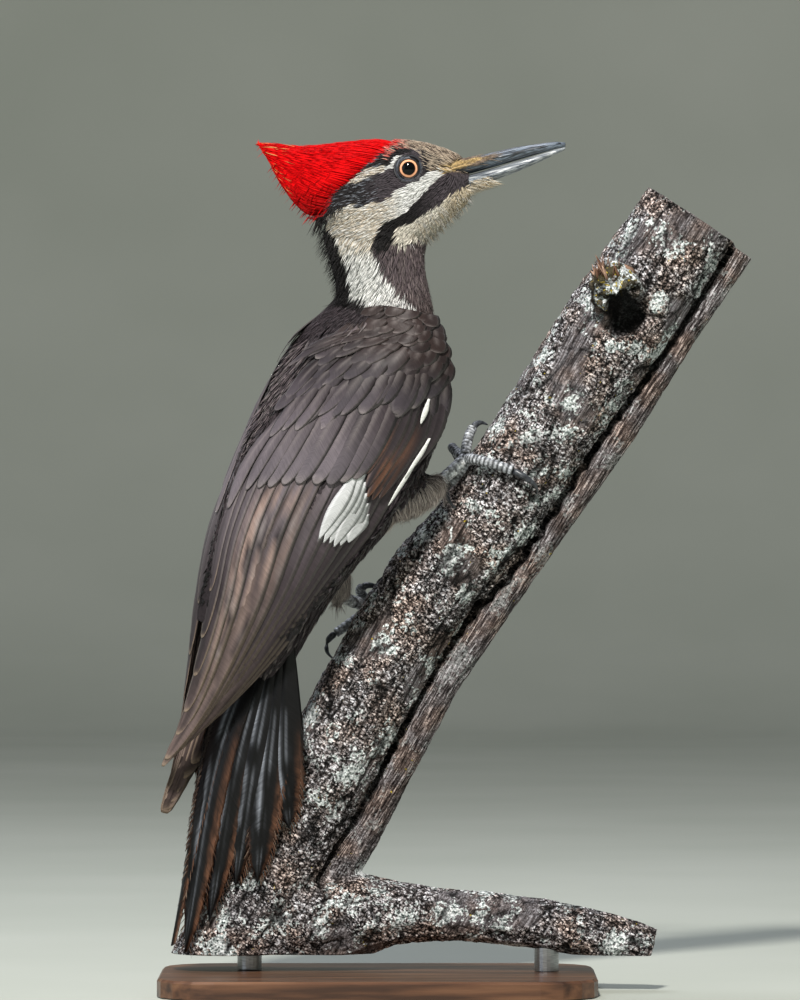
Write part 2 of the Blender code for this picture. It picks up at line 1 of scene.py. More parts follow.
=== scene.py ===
# %% [markdown]
# # A pileated woodpecker on a dead limb
# The bird is a female pileated woodpecker, life size, clinging to a leaning limb and propped on her
# stiff tail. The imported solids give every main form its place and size. This lesson dresses them: one
# skin in place of the flesh, thousands of small feathers over it, long flight feathers, horn, scaled
# toes, an eye with its lids, bark and lichen. All lengths in tables are millimetres.

import math

import bpy
import numpy as np
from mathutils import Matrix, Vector
from mathutils.bvhtree import BVHTree


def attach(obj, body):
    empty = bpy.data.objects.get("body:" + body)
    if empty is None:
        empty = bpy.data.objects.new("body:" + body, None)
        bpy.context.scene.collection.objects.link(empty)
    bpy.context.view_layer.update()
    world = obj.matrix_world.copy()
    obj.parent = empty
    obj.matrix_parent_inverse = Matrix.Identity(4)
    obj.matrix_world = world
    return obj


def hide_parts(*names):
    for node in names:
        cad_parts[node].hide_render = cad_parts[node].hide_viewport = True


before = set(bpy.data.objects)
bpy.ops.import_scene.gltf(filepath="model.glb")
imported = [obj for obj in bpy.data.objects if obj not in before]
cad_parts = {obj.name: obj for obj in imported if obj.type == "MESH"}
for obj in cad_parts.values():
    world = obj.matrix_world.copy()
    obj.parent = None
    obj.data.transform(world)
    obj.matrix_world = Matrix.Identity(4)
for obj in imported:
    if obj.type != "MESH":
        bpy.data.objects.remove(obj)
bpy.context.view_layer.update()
MM = 0.001
rng = np.random.default_rng(23)

# %% [markdown]
# ## Small helpers for arrays
# Feathers are many and small, so their points are worked out as whole arrays: one row of numbers for
# each point. A bird's shapes are smooth lines through a few measured stations, so one helper runs a
# Catmull-Rom line through rows of numbers. Another gives a soft random field, which is what breaks up
# anything that would look ruled.


# %% Vectors, smooth lines and a random field
def unit(vectors):
    return vectors / np.maximum(np.linalg.norm(vectors, axis=-1, keepdims=True), 1e-12)


def dot(a, b):
    return np.sum(a * b, axis=-1)


def step(low, high, values):
    """0 below low, 1 above high, and smooth between."""
    t = np.clip((values - low) / (high - low), 0, 1)
    return t * t * (3 - 2 * t)


def line(rows, shares):
    """Catmull-Rom through rows of numbers, read at each share of the way from 0 to 1."""
    rows = np.asarray(rows, float)
    rows = np.concatenate([[rows[0] * 2 - rows[1]], rows, [rows[-1] * 2 - rows[-2]]])
    spans = len(rows) - 3
    place = np.clip(np.asarray(shares, float), 0, 1) * spans
    i = np.minimum(place.astype(int), spans - 1)
    t = (place - i).reshape(place.shape + (1,) * (rows.ndim - 1))
    a, b, c, d = rows[i], rows[i + 1], rows[i + 2], rows[i + 3]
    return (b * 2 + (c - a) * t + (a * 2 - b * 5 + c * 4 - d) * t**2 + (b * 3 - a - c * 3 + d) * t**3) / 2


def field(points, cell_mm, seed=0):
    """A smooth random number from -1 to 1 at each point, with lumps about cell_mm across."""
    places = points / (np.asarray(cell_mm) * MM)
    cells = np.floor(places).astype(np.int64)
    part = places - cells
    fade = part * part * (3 - 2 * part)
    total = np.zeros(len(points))
    for corner in np.ndindex(2, 2, 2):
        at = cells + corner
        key = (at[:, 0] * 73856093) ^ (at[:, 1] * 19349663) ^ (at[:, 2] * 83492791) ^ (seed * 7919)
        key = ((key ^ (key >> 13)) * 1274126177) & 0xFFFFFFFF
        weight = np.prod(np.where(corner, fade, 1 - fade), axis=1)
        total += weight * (((key >> 7) % 65536) / 32767.5 - 1)
    return total


print("a line through 0, 1 and 4, a quarter along:", line([[0], [1], [4]], [0.25])[0, 0])


# %% [markdown]
# ## The bird's own directions
# The trunk leans with the limb and is turned a little towards the viewer, while the head is in true
# profile. So the trunk has a frame of its own, along, dorsal and to the bird's right, and the head's
# markings are drawn in its middle plane, as X and Z. The same frame was used for the solids.

# %% The trunk's frame
TRUNK_CENTRE = np.array([-17.6, -22.0, 240.3])
TRUNK_UP = unit(np.array([0.404, -0.105, 0.909]))
BIRD_RIGHT = np.array([0.412, -0.866, -0.283])
BIRD_RIGHT = unit(BIRD_RIGHT - TRUNK_UP * dot(BIRD_RIGHT, TRUNK_UP))
DORSAL = np.cross(BIRD_RIGHT, TRUNK_UP)
HEAD_Y = -34.0  # the head's middle plane
EYE = np.array([13.8, 366.9])  # X and Z


def body_point(along, dorsal, side):
    """World metres from millimetres in the trunk's frame. Each may be an array."""
    along, dorsal, side = (np.asarray(v, float)[..., None] for v in (along, dorsal, side))
    return (TRUNK_CENTRE + along * TRUNK_UP + dorsal * DORSAL + side * BIRD_RIGHT) * MM


def in_body(points):
    """Along, dorsal and side in millimetres of world points in metres."""
    away = points / MM - TRUNK_CENTRE
    return dot(away, TRUNK_UP), dot(away, DORSAL), dot(away, BIRD_RIGHT)


print("the trunk leans", round(math.degrees(math.acos(TRUNK_UP[2]))), "degrees")


# %% [markdown]
# ## Colours
# Colours are written as the sRGB hex values a paint chart would give, and turned to the linear
# numbers that light adds up in. Black birds are never black: worn feathers go brown, fresh ones are a
# cool slate, and the light catches both.


# %% Hex to linear
def colour(code):
    channels = np.array([int(code[i : i + 2], 16) / 255 for i in (1, 3, 5)])
    return np.where(channels <= 0.04045, channels / 12.92, ((channels + 0.055) / 1.055) ** 2.4)


SLATE = colour("#3D3539")  # fresh body and wing feathers
SLATE_DEEP = colour("#1B1719")
# painted sheen: the bluish grey that light brings out on covert tips
SLATE_SHEEN_BLUE = colour("#5A565F")
WORN = colour("#917C74")  # sun-bleached secondaries
RUST = colour("#855B46")
TAN = colour("#A28E7B")
FRINGE = colour("#9A918F")
WHITE = colour("#E6E6E3")
THROAT = colour("#DDD7CA")
BUFF = colour("#CDB78F")
NASAL = colour("#CFB27C")
JET = colour("#171415")
EAR_GREY = colour("#4D464B")
FORE_NECK = colour("#5B5053")
NECK_BROWN = colour("#3D322E")
CROWN = colour("#8E7C6C")
CREST_RED = colour("#DB060B")
# painted shade: the darker red of the crest's lower part, where shadow fell
CREST_SHADE_RED = colour("#8A0606")
# painted highlight: golden streaks where light caught the silky crest
CREST_GLINT_GOLD = colour("#D88A55")
TAIL_BLACK = colour("#09080A")
TAIL_GLOSS = colour("#8F949D")
TAIL_BROWN = colour("#6C4A37")
# painted light: the paler grey where light fell over the middle of the wing
WING_LIT_GREY = colour("#756D72")  # the sunny middle of the wing
SHOULDER_BROWN = colour("#3A2E2B")
PATCH_WHITE = colour("#D3D4D6")
# painted shade: warm beige over the upper rear of the white cheek, in the head's shadow
CHEEK_SHADE = colour("#C3B5A0")
# painted highlight: bluish flecks of sheen on the black ear band
EAR_SHEEN_FLECK = colour("#8E939C")
CROWN_STREAK = colour("#C9B8A2")
NASAL_DARK = colour("#5A4A36")
THIGH_DARK = colour("#776B69")
THIGH_PALE = colour("#D6CAC4")
THIGH_TIP = colour("#C0B2A6")
BACK_GREY = colour("#6B6062")
NECK_FRINGE = colour("#7F7472")
# painted shade: near black in the toes' creases, over the dark skin between plates
TOE_CREASE_SHADE = colour("#232527")
print("slate in linear light:", SLATE.round(3))

# %% [markdown]
# ## The head's markings
# Each marking is a patch with an outline in the head's middle plane, and the same on both sides. A
# feather takes the colour of the last patch that holds its middle. Because each feather is asked at
# its own place, the edges come out ragged, the way real ones do.

# %% Outlines of the markings, X and Z
MARKS = [
    ("white_face", WHITE, [
        (29.6, 368.5), (25.1, 366.8), (21.1, 365.1), (16.9, 361.9), (12.6, 359.3), (8.6, 357.5),
        (5.2, 354.0), (1.8, 352.1), (-2.7, 351.9), (-8.7, 349.1), (-12.4, 351.3), (-15.8, 349.6),
        (-20.6, 347.7), (-23.7, 344.1), (-22.3, 339.5), (-19.4, 337.0), (-16.9, 331.9), (-15.1, 327.6),
        (-12.6, 323.4), (-13.0, 319.1), (-10.9, 315.3), (-11.7, 311.5), (-6.2, 309.0), (-2.8, 307.5),
        (1.5, 306.2), (7.0, 305.4), (10.8, 304.2), (14.2, 302.8), (18.1, 302.5), (17.2, 306.3),
        (13.8, 308.7), (10.8, 311.0), (8.3, 313.1), (7.0, 316.6), (3.6, 318.7), (1.5, 321.7),
        (1.0, 325.1), (-0.7, 327.6), (-2.0, 331.0), (-1.9, 336.1), (-0.4, 339.5), (2.4, 342.6),
        (6.9, 343.9), (10.3, 345.6), (13.7, 348.0), (15.7, 350.7), (19.1, 354.1), (22.3, 358.1),
        (25.7, 360.9), (28.5, 363.8), (33.6, 366.2), (32.5, 367.9)]),
    ("throat", THROAT, [
        (6.4, 333.8), (9.2, 331.5), (14.3, 333.0), (22.0, 335.0), (30.0, 338.0), (40.0, 346.0),
        (60.0, 352.0), (66.0, 362.0), (44.0, 362.0), (41.0, 360.5),
        (34.7, 356.5), (29.6, 353.1), (26.8, 350.3), (22.8, 348.0), (19.4, 345.8), (15.4, 342.9),
        (12.6, 341.8), (7.5, 339.5)]),
    ("malar", JET, [
        (28.5, 363.6), (25.7, 360.8), (22.3, 358.0), (19.1, 354.0), (15.7, 350.6), (13.7, 348.0),
        (10.3, 345.5), (6.9, 343.8), (2.4, 342.6), (-0.4, 339.5), (-1.9, 336.1), (-0.4, 330.4),
        (4.7, 331.1), (6.4, 334.8), (7.5, 339.5), (12.6, 341.8), (15.4, 342.9), (19.4, 345.8),
        (22.8, 348.0), (26.8, 350.3), (29.6, 353.1), (34.7, 356.5), (41.0, 360.5), (41.3, 363.6),
        (33.6, 363.6)]),
    ("ear", EAR_GREY, [
        (7.8, 368.2), (4.7, 366.2), (0.7, 364.8), (-2.7, 363.4), (-6.1, 362.0), (-9.5, 360.6),
        (-14.6, 360.2), (-18.0, 357.4), (-20.3, 354.3), (-21.3, 350.9), (-20.6, 348.0),
        (-15.8, 349.7), (-12.4, 351.4), (-9.0, 349.1), (-6.1, 351.4), (-2.7, 352.0), (1.8, 352.2),
        (5.2, 354.2), (6.4, 356.4), (8.6, 357.6), (12.6, 359.4), (17.0, 361.2), (20.0, 363.5),
        (22.3, 366.2), (27.0, 368.4), (29.6, 370.4), (25.1, 373.0), (20.0, 375.3), (13.7, 376.6),
        (9.8, 375.4)]),
    ("over_line", JET, [
        (-1.0, 372.2), (1.8, 374.1), (5.2, 376.4), (9.8, 378.1), (13.7, 376.4), (15.4, 374.1),
        (10.9, 373.6), (7.2, 371.3), (5.2, 368.7), (0.7, 367.9), (-5.0, 367.3), (-6.1, 367.9)]),
    ("white_line", WHITE, [
        (10.1, 373.2), (7.0, 371.8), (6.2, 369.8), (5.0, 368.7), (0.7, 367.8), (-3.8, 367.1),
        (-7.3, 365.5), (-10.7, 363.6), (-14.8, 360.4), (-9.5, 360.5), (-6.1, 361.9), (-2.7, 363.3),
        (0.7, 364.7), (4.7, 366.2), (7.8, 368.2), (9.1, 370.5), (10.5, 372.2)]),
    ("nasal", NASAL, [
        (27.4, 368.5), (30.8, 370.1), (37.0, 370.6), (41.6, 371.6), (47.0, 372.2), (39.3, 368.5),
        (33.6, 366.2), (28.5, 363.8), (27.4, 366.2)]),
    ("red", CREST_RED, [
        (12.5, 383.0), (10.3, 380.7), (9.8, 378.1), (5.2, 376.4), (1.8, 374.1), (-1.0, 372.2),
        (-1.3, 370.5), (-5.0, 369.0), (-7.3, 366.2), (-11.8, 363.9), (-14.6, 360.5), (-18.0, 357.7),
        (-20.3, 354.3), (-21.2, 350.9), (-22.6, 347.0), (-31.1, 343.5), (-70.0, 345.0), (-70.0, 395.0),
        (12.0, 395.0)]),
]


def inside(points_xz, outline):
    """Which points lie inside a closed outline: each edge crossed on the way out turns the answer."""
    x, z = points_xz[:, 0], points_xz[:, 1]
    found = np.zeros(len(x), bool)
    for (ax, az), (bx, bz) in zip(outline, outline[1:] + outline[:1]):
        crosses = (az > z) != (bz > z)
        with np.errstate(divide="ignore", invalid="ignore"):
            at = ax + (z - az) / (bz - az) * (bx - ax)
        found ^= crosses & (x < at)
    return found


OUTLINES = {name: outline for name, _, outline in MARKS}
print("markings:", ", ".join(name for name, _, _ in MARKS))

# %% [markdown]
# ## One colour for every point of the bird
# Skin and feathers must carry the same markings, or pale skin would show through a black coat. So one
# function gives the plumage colour at a place, and everything soft asks it. Past the neck it works in
# the trunk's frame: a slate back and breast, and a browner, hairier thigh.


# %% The plumage's colour at a place
HEAD_FROM = 0.296  # metres up; no marking of the head reaches below


def blend(base, other, share):
    return base + (other - base) * np.asarray(share)[..., None]


def plumage(points, wobble=0.35):
    """Linear colour at world points. Wobble is how far, in mm, feathers stray over a marking's edge."""
    shaken = points.copy()
    for axis in (0, 2):
        shaken[:, axis] += wobble * MM * field(points, 1.3, seed=5 + axis) * 1.6
    xz = shaken[:, [0, 2]] / MM
    x, z = xz.T
    along, dorsal, _ = in_body(points)
    found = np.tile(SLATE, (len(points), 1))
    found = blend(found, SLATE_DEEP, step(10, -70, along) * 0.35 + step(-5, -25, dorsal) * 0.3)
    front = step(-8.0, 6.0, x)
    neck = blend(JET[None], FORE_NECK, front)
    neck = blend(neck, NECK_BROWN, front * step(318, 303, z) * 0.8)
    neck = np.where(((z > 366) & (x > 6))[:, None], CROWN, neck)
    on_head = points[:, 2] > HEAD_FROM
    above_collar = z > 303.5 - 0.22 * x
    found = np.where((above_collar & on_head)[:, None], neck, found)
    for name, tone, outline in MARKS:
        if name == "ear":
            dark = step(3.0, -9.0, x) + step(16.0, 23.0, x)
            tone = blend(tone[None], JET, np.clip(dark, 0, 1) * 0.85)
        if name == "malar":
            tone = blend(tone[None], EAR_GREY, step(14.0, 30.0, x))
        if name == "throat":
            tone = blend(tone[None], BUFF, step(26.0, 36.0, x) * 0.55)
        # painted shade: the crest's red darkens towards its lower part
        if name == "red":
            tone = blend(tone[None], CREST_SHADE_RED, step(362, 348, z) * 0.75)
        hit = inside(xz, outline) & on_head
        found = np.where(hit[:, None], tone, found)
    return found


over_nostril = np.array([[0.036, HEAD_Y * MM, 0.3685]])
print("plumage over the nostril:", plumage(over_nostril)[0].round(2))


# %% [markdown]
# ## The form under the feathers
# A mount has one skin over its whole body. Here it is made from copies of the flesh nodes, joined and
# remeshed into a single closed shell, so no seam is left where the neck meets the trunk. That shell is
# the coat's outer surface, where feather tips lie. The skin itself is the same shell drawn in by the
# depth of the feathers, which is most over the breast and least on the face.


# %% Select, merge and join by hand
def choose(*objects):
    bpy.ops.object.select_all(action="DESELECT")
    for piece in objects:
        piece.select_set(True)
    bpy.context.view_layer.objects.active = objects[0]


def edit_all(piece):
    """Edit mode on one piece, with all of it selected."""
    choose(piece)
    bpy.ops.object.mode_set(mode="EDIT")
    bpy.ops.mesh.select_all(action="SELECT")


def copy_nodes(name, nodes):
    """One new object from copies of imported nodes, with their loose triangles merged."""
    copies = []
    for node in nodes:
        copied = bpy.data.objects.new(name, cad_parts[node].data.copy())
        bpy.context.collection.objects.link(copied)
        copied.data.materials.clear()
        copies.append(copied)
    choose(*copies)
    if len(copies) > 1:
        bpy.ops.object.join()
    edit_all(copies[0])
    bpy.ops.mesh.remove_doubles(threshold=0.00001)
    bpy.ops.object.mode_set(mode="OBJECT")
    return copies[0]


def remesh(piece, voxel_mm, smooth_rounds):
    """Makes a piece one closed shell of small even faces, and eases it."""
    choose(piece)
    piece.data.remesh_voxel_size = voxel_mm * MM
    piece.data.remesh_voxel_adaptivity = 0
    bpy.ops.object.voxel_remesh()
    eased = piece.modifiers.new("ease", "SMOOTH")
    eased.factor = 0.5
    eased.iterations = smooth_rounds
    bpy.ops.object.modifier_apply(modifier=eased.name)
    bpy.ops.object.shade_smooth()


WING_END = -92.0  # past here a folded wing is feathers alone
wings = copy_nodes("wings", ["wing_left", "wing_right"])
edit_all(wings)
bpy.ops.mesh.bisect(
    plane_co=tuple(body_point(WING_END, 0, 0)), plane_no=tuple(TRUNK_UP), use_fill=True, clear_inner=True
)
bpy.ops.object.mode_set(mode="OBJECT")
FLESH = ["trunk", "neck", "head", "crest", "thigh_left", "thigh_right"]
WINGS = ["wing_left", "wing_right"]
skin = copy_nodes("skin", FLESH)
choose(skin, wings)
bpy.ops.object.join()
remesh(skin, 1.2, smooth_rounds=8)
print("skin:", len(skin.data.polygons), "faces")

# %% [markdown]
# ## Reading places off the shell
# Every feather has to know where the surface is, which way is out and whose skin it grows from. A
# bounding volume tree answers the first quickly. The normal is mixed from the three corners of the
# face found, so that it turns smoothly.


# %% A surface to land on
def read(items, kind, width, number=np.float32):
    """One row of numbers for each point, edge, corner or face of a mesh."""
    values = np.empty(len(items) * width, number)
    items.foreach_get(kind, values)
    return values.reshape(-1, width)


def vertex_values(mesh, kind="co"):
    return read(mesh.vertices, kind, 3).astype(float)


def move_points(mesh, places):
    mesh.vertices.foreach_set("co", places.astype(np.float32).ravel())
    mesh.update()


def surface_of(mesh):
    mesh.calc_loop_triangles()
    points = vertex_values(mesh)
    faces = read(mesh.loop_triangles, "vertices", 3, np.int32)
    return {
        "tree": BVHTree.FromPolygons(points.tolist(), faces.tolist()),
        "points": points,
        "faces": faces,
        "normals": vertex_values(mesh, "normal"),
        "loops": read(mesh.loop_triangles, "loops", 3, np.int32),
    }


def mixed(values, corners, shares):
    """The values at each face's three corners, mixed by a place's shares of them."""
    return np.sum(values[corners] * shares[..., None], axis=1)


def land(surface, places):
    """The nearest places on a surface: where, the smooth normal, the face, how far, and corner shares."""
    hits = [surface["tree"].find_nearest(place) for place in np.asarray(places).tolist()]
    found = np.array([tuple(hit[0]) for hit in hits]).reshape(-1, 3)
    face = np.array([hit[2] for hit in hits], int)
    far = np.array([hit[3] for hit in hits])
    corner = surface["points"][surface["faces"][face]]
    across, along = corner[:, 1] - corner[:, 0], corner[:, 2] - corner[:, 0]
    away = found - corner[:, 0]
    aa, ab, bb = dot(across, across), dot(across, along), dot(along, along)
    wa, wb = dot(away, across), dot(away, along)
    below = np.maximum(aa * bb - ab * ab, 1e-24)
    second, third = (bb * wa - ab * wb) / below, (aa * wb - ab * wa) / below
    shares = np.clip(np.stack([1 - second - third, second, third], 1), 0, 1)
    normal = unit(mixed(surface["normals"], surface["faces"][face], shares))
    return found, normal, face, far, shares


coat = surface_of(skin.data)
owner_names = FLESH + WINGS
owner_points, owner_faces, owner_of_face, so_far = [], [], [], 0
for number, node in enumerate(owner_names):
    part = surface_of(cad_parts[node].data)
    owner_points.append(part["points"])
    owner_faces.append(part["faces"] + so_far)
    owner_of_face += [number] * len(part["faces"])
    so_far += len(part["points"])
owner_of_face = np.array(owner_of_face)
owner_tree = BVHTree.FromPolygons(
    np.concatenate(owner_points).tolist(), np.concatenate(owner_faces).tolist()
)


def owners(places):
    """The number of the flesh node nearest to each place."""
    return owner_of_face[[owner_tree.find_nearest(place)[2] for place in np.asarray(places).tolist()]]


def of_node(owner, *nodes):
    return np.isin(owner, [owner_names.index(node) for node in nodes])


print("coat surface:", len(coat["points"]), "points")

# %% [markdown]
# ## Drawing the skin in
# The skin lies under the coat by the feathers' depth. Where the body is thin, as at a wing's rear
# edge, a fixed depth would turn it inside out, so a ray is sent inwards first and no more than a third
# of what it finds is taken.

# %% Depth of the coat, and the skin's unwrap
DEPTHS = {
    "trunk": 3.2, "neck": 2.6, "head": 1.3, "crest": 3.2,
    "thigh_left": 2.0, "thigh_right": 2.0, "wing_left": 3.0, "wing_right": 3.0,
}
points, normals = coat["points"], coat["normals"]
room = np.full(len(points), 30.0)
for i, (place, out) in enumerate(zip(points.tolist(), normals.tolist())):
    inward = -Vector(out)
    hit = coat["tree"].ray_cast(Vector(place) + inward * 0.0003, inward, 0.03)
    if hit[0] is not None:
        room[i] = hit[3] / MM
depth = np.array([DEPTHS[name] for name in owner_names])[owners(points)]
depth = np.minimum(depth, 0.33 * room)
edges = read(skin.data.edges, "vertices", 2, np.int32)
beside = np.bincount(edges.ravel(), minlength=len(points))
for _ in range(12):  # each point's depth is evened out with its neighbours'
    total = np.zeros(len(points))
    np.add.at(total, edges[:, 0], depth[edges[:, 1]])
    np.add.at(total, edges[:, 1], depth[edges[:, 0]])
    depth = 0.5 * depth + 0.5 * total / np.maximum(beside, 1)
depth = np.minimum(depth, 0.4 * room)
move_points(skin.data, points - normals * (depth * MM)[:, None])
edit_all(skin)
bpy.ops.uv.smart_project(angle_limit=1.15, island_margin=0.002)
bpy.ops.object.mode_set(mode="OBJECT")
skin.data.uv_layers[0].name = "OFBake"
skin_uv = read(skin.data.uv_layers["OFBake"].uv, "vector", 2)
print("coat depth, mm:", depth.min().round(2), "to", depth.max().round(2))

# %% [markdown]
# ## Colour stored in the points
# The markings are worked out once and stored in each point of a mesh, as an attribute that a material
# can read. It needs no file, and skin and feathers get the same colours from the same function.


# %% Attributes that a material can read
def give(mesh, name, values):
    """Stores a colour or a vector for each point of a mesh."""
    if values.shape[1] == 4:
        mesh.attributes.new(name, "FLOAT_COLOR", "POINT").data.foreach_set("color", values.ravel())
    else:
        mesh.attributes.new(name, "FLOAT_VECTOR", "POINT").data.foreach_set("vector", values.ravel())


def tint_of(colours):
    return np.concatenate([colours, np.ones((len(colours), 1))], axis=1).astype(np.float32)


# painted shade: the skin takes its feathers' colour at 0.7, as the shade deep in the coat
give(skin.data, "tint", tint_of(plumage(points) * 0.7))
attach(skin, "root")
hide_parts(*FLESH, "wing_left", "wing_right")
print("skin replaces", ", ".join(FLESH + WINGS))

# %% [markdown]
# ## Materials
# One helper adds a node: what is linked is linked, what is a number is set, and anything that is not a
# socket is a setting of the node. Values that are the same all over a surface stay on the shader's
# own sockets.


# %% A node helper, and a finish with one grain
def add(tree, kind, inputs=None, stops=None, **settings):
    """Adds a node. Inputs are links or values by socket, stops a ramp's places and numbers or hex."""
    node = tree.nodes.new(kind)
    for name, value in settings.items():
        setattr(node, name, value)
    for socket, value in (inputs or {}).items():
        if isinstance(value, bpy.types.NodeSocket):
            tree.links.new(value, node.inputs[socket])
        else:
            node.inputs[socket].default_value = value
    for i, (place, tone) in enumerate(stops or []):
        element = node.color_ramp.elements[i] if i < 2 else node.color_ramp.elements.new(place)
        element.position = place
        element.color = (*np.broadcast_to(colour(tone) if isinstance(tone, str) else tone, 3), 1.0)
    return node


def start(name, **sockets):
    made = bpy.data.materials.new(name)
    made.use_nodes = True
    shader = made.node_tree.nodes["Principled BSDF"]
    for socket, value in sockets.items():
        shader.inputs[socket.replace("_", " ")].default_value = value
    return made, made.node_tree, shader


def grained(name, tones, grain_mm, turn=(0, 0, 0), detail=3.0, bump=0.4, deep_mm=0.3, **sockets):
    """A finish with one random grain, given by its size in mm along its own three axes."""
    made, tree, shader = start(name, **sockets)
    place = add(tree, "ShaderNodeTexCoord")
    sized = add(
        tree, "ShaderNodeMapping",
        {"Vector": place.outputs["Object"], "Scale": [v * MM for v in grain_mm], "Rotation": turn},
        vector_type="TEXTURE",
    )
    grain = add(
        tree, "ShaderNodeTexNoise", {"Vector": sized.outputs["Vector"], "Scale": 1.0, "Detail": detail}
    )
    tone = add(tree, "ShaderNodeValToRGB", {"Fac": grain.outputs["Fac"]}, tones)
    tree.links.new(tone.outputs["Color"], shader.inputs["Base Color"])
    rise = add(
        tree, "ShaderNodeBump", {"Height": grain.outputs["Fac"], "Strength": bump, "Distance": deep_mm * MM}
    )
    tree.links.new(rise.outputs["Normal"], shader.inputs["Normal"])
    return made


# %% [markdown]
# ## Keratin feathers
# A vane is flat keratin barbs side by side, so its gloss is drawn out and its colour is faintly
# lined. Barbs stand about 0.3 mm apart on a body feather and are drawn at 0.4 mm here, or they would
# not show. The lines read the feather's own millimetres across and along, so they follow every
# feather whichever way it lies. The skin below takes its colour the same way, with a mottle of pores
# instead of lines, and is dull and darkened by painted shade, so that a gap in the coat looks deep.


# %% Finishes that take their colour from the mesh
def tinted(name, stops, bump, deep_mm, grain_mm=None, line_mm=None, **sockets):
    """Colour from the mesh's tint, broken up by a mottle, or by lines along each feather's barbs."""
    made, tree, shader = start(name, **sockets)
    tint = add(tree, "ShaderNodeAttribute", attribute_name="tint")
    if line_mm:
        barb = add(tree, "ShaderNodeAttribute", attribute_name="barb")
        lined = add(
            tree, "ShaderNodeMapping", {"Vector": barb.outputs["Vector"], "Scale": (0.12, 1 / line_mm, 37.0)}
        )
        texture = {"Vector": lined.outputs["Vector"], "Scale": 1.0, "Detail": 2.0}
    else:
        place = add(tree, "ShaderNodeTexCoord")
        texture = {"Vector": place.outputs["Object"], "Scale": 1 / (grain_mm * MM), "Detail": 3.0}
    grain = add(tree, "ShaderNodeTexNoise", texture)
    shade = add(tree, "ShaderNodeValToRGB", {"Fac": grain.outputs["Fac"]}, stops)
    tone = add(
        tree, "ShaderNodeMix", {0: 1.0, 6: tint.outputs["Color"], 7: shade.outputs["Color"]},
        data_type="RGBA", blend_type="MULTIPLY",
    )
    tree.links.new(tone.outputs[2], shader.inputs["Base Color"])
    rise = add(
        tree, "ShaderNodeBump", {"Height": grain.outputs["Fac"], "Strength": bump, "Distance": deep_mm * MM}
    )
    tree.links.new(rise.outputs["Normal"], shader.inputs["Normal"])
    return made


FINISHES = {
    # roughness, barb spacing in mm, contrast of the barbs, bump, sheen, specular
    "contour_feather_keratin": (0.62, 0.4, 0.28, 0.35, 0.06, 0.2),  # matt, with a faint lined gloss
    "down_feather_soft": (0.8, 0.5, 0.3, 0.3, 0.2, 0.2),  # no gloss, a soft bloom at the edges
    "crest_feather_silk": (0.6, 0.35, 0.22, 0.2, 0.0, 0.06),  # full colour, hardly washed by light
    "flight_feather_keratin": (0.50, 0.6, 0.26, 0.35, 0.04, 0.2),  # a low sheen down each vane
    # the tail's streaks of gloss are painted into its tint as well
    "tail_feather_polished": (0.34, 0.7, 0.60, 0.6, 0.0, 0.22),  # sharp lights on near black
    "torn_wood_fibre": (0.85, 0.3, 0.4, 0.5, 0.0, 0.2),  # dry, dull and stringy
}
MATERIALS = {
    name: tinted(
        name, [(0.25, 1 - contrast), (0.75, 1 + contrast * 0.6)], bump, 0.2, line_mm=line_mm,
        Roughness=roughness, Sheen_Weight=sheen, Specular_IOR_Level=specular, Sheen_Roughness=0.45,
    )
    for name, (roughness, line_mm, contrast, bump, sheen, specular) in FINISHES.items()
}
skin.data.materials.clear()
skin.data.materials.append(tinted(  # dull and dark, so that a gap in the coat looks deep
    "bare_skin_under_down", [(0.3, 0.6), (0.7, 1.2)], 0.5, 0.3, grain_mm=1.1,
    Roughness=0.8, Specular_IOR_Level=0.2,
))
print("feather finishes:", ", ".join(MATERIALS))

# %% [markdown]
# ## A feather as a small closed solid
# Each small feather is a thin wedge: a row of three points at each station, with the middle one
# raised like a shaft, closed below and drawn to a point. Ten to sixteen points are enough, because
# there are tens of thousands. All feathers of a kind share one list of faces, repeated by adding the
# same numbers on, so a whole patch of coat is one mesh made in a moment.


# %% A mesh from arrays, for a whole patch of feathers
PATCH = 0.003  # each feather's share of the unwrap


def feather_mesh(name, points, template, tints, barbs, uv, finish):
    """One object at the origin. Arrays are feathers by points; the template is one feather's faces."""
    count, each = points.shape[:2]
    starts = (np.arange(count) * each)[:, None, None]
    groups = [(group[None] + starts).reshape(-1, group.shape[1]) for group in template]
    points, tints, barbs, uv = (v.reshape(-1, v.shape[-1]) for v in (points, tints, barbs, uv))
    mesh = bpy.data.meshes.new(name)
    corners = np.concatenate([group.ravel() for group in groups]).astype(np.int32)
    sizes = np.concatenate([np.full(len(group), group.shape[1]) for group in groups])
    mesh.vertices.add(len(points))
    mesh.vertices.foreach_set("co", points.astype(np.float32).ravel())
    mesh.loops.add(len(corners))
    mesh.loops.foreach_set("vertex_index", corners)
    mesh.polygons.add(len(sizes))
    mesh.polygons.foreach_set("loop_start", np.concatenate([[0], np.cumsum(sizes)[:-1]]).astype(np.int32))
    mesh.polygons.foreach_set("use_smooth", np.ones(len(sizes), bool))
    mesh.update(calc_edges=True)
    give(mesh, "tint", tint_of(tints))
    give(mesh, "barb", barbs.astype(np.float32))
    layer = mesh.uv_layers.new(name="OFBake")
    layer.uv.foreach_set("vector", uv[corners].astype(np.float32).ravel())
    mesh.materials.append(MATERIALS[finish])
    piece = bpy.data.objects.new(name, mesh)
    bpy.context.collection.objects.link(piece)
    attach(piece, "root")
    print(name, count, "feathers,", int(np.sum(sizes - 2)), "triangles")
    return piece


# %% Small feathers from their middle lines
def tuft_faces(rows):
    quads, triangles = [], [(0, 2, 1)]
    for row in range(rows - 2):
        a, b = 3 * row, 3 * row + 3
        quads += [(a, a + 1, b + 1, b), (a + 1, a + 2, b + 2, b + 1), (a + 2, a, b, b + 2)]
    last, tip = 3 * (rows - 2), 3 * (rows - 1)
    triangles += [(last, last + 1, tip), (last + 1, last + 2, tip), (last + 2, last, tip)]
    return [np.array(quads), np.array(triangles)]


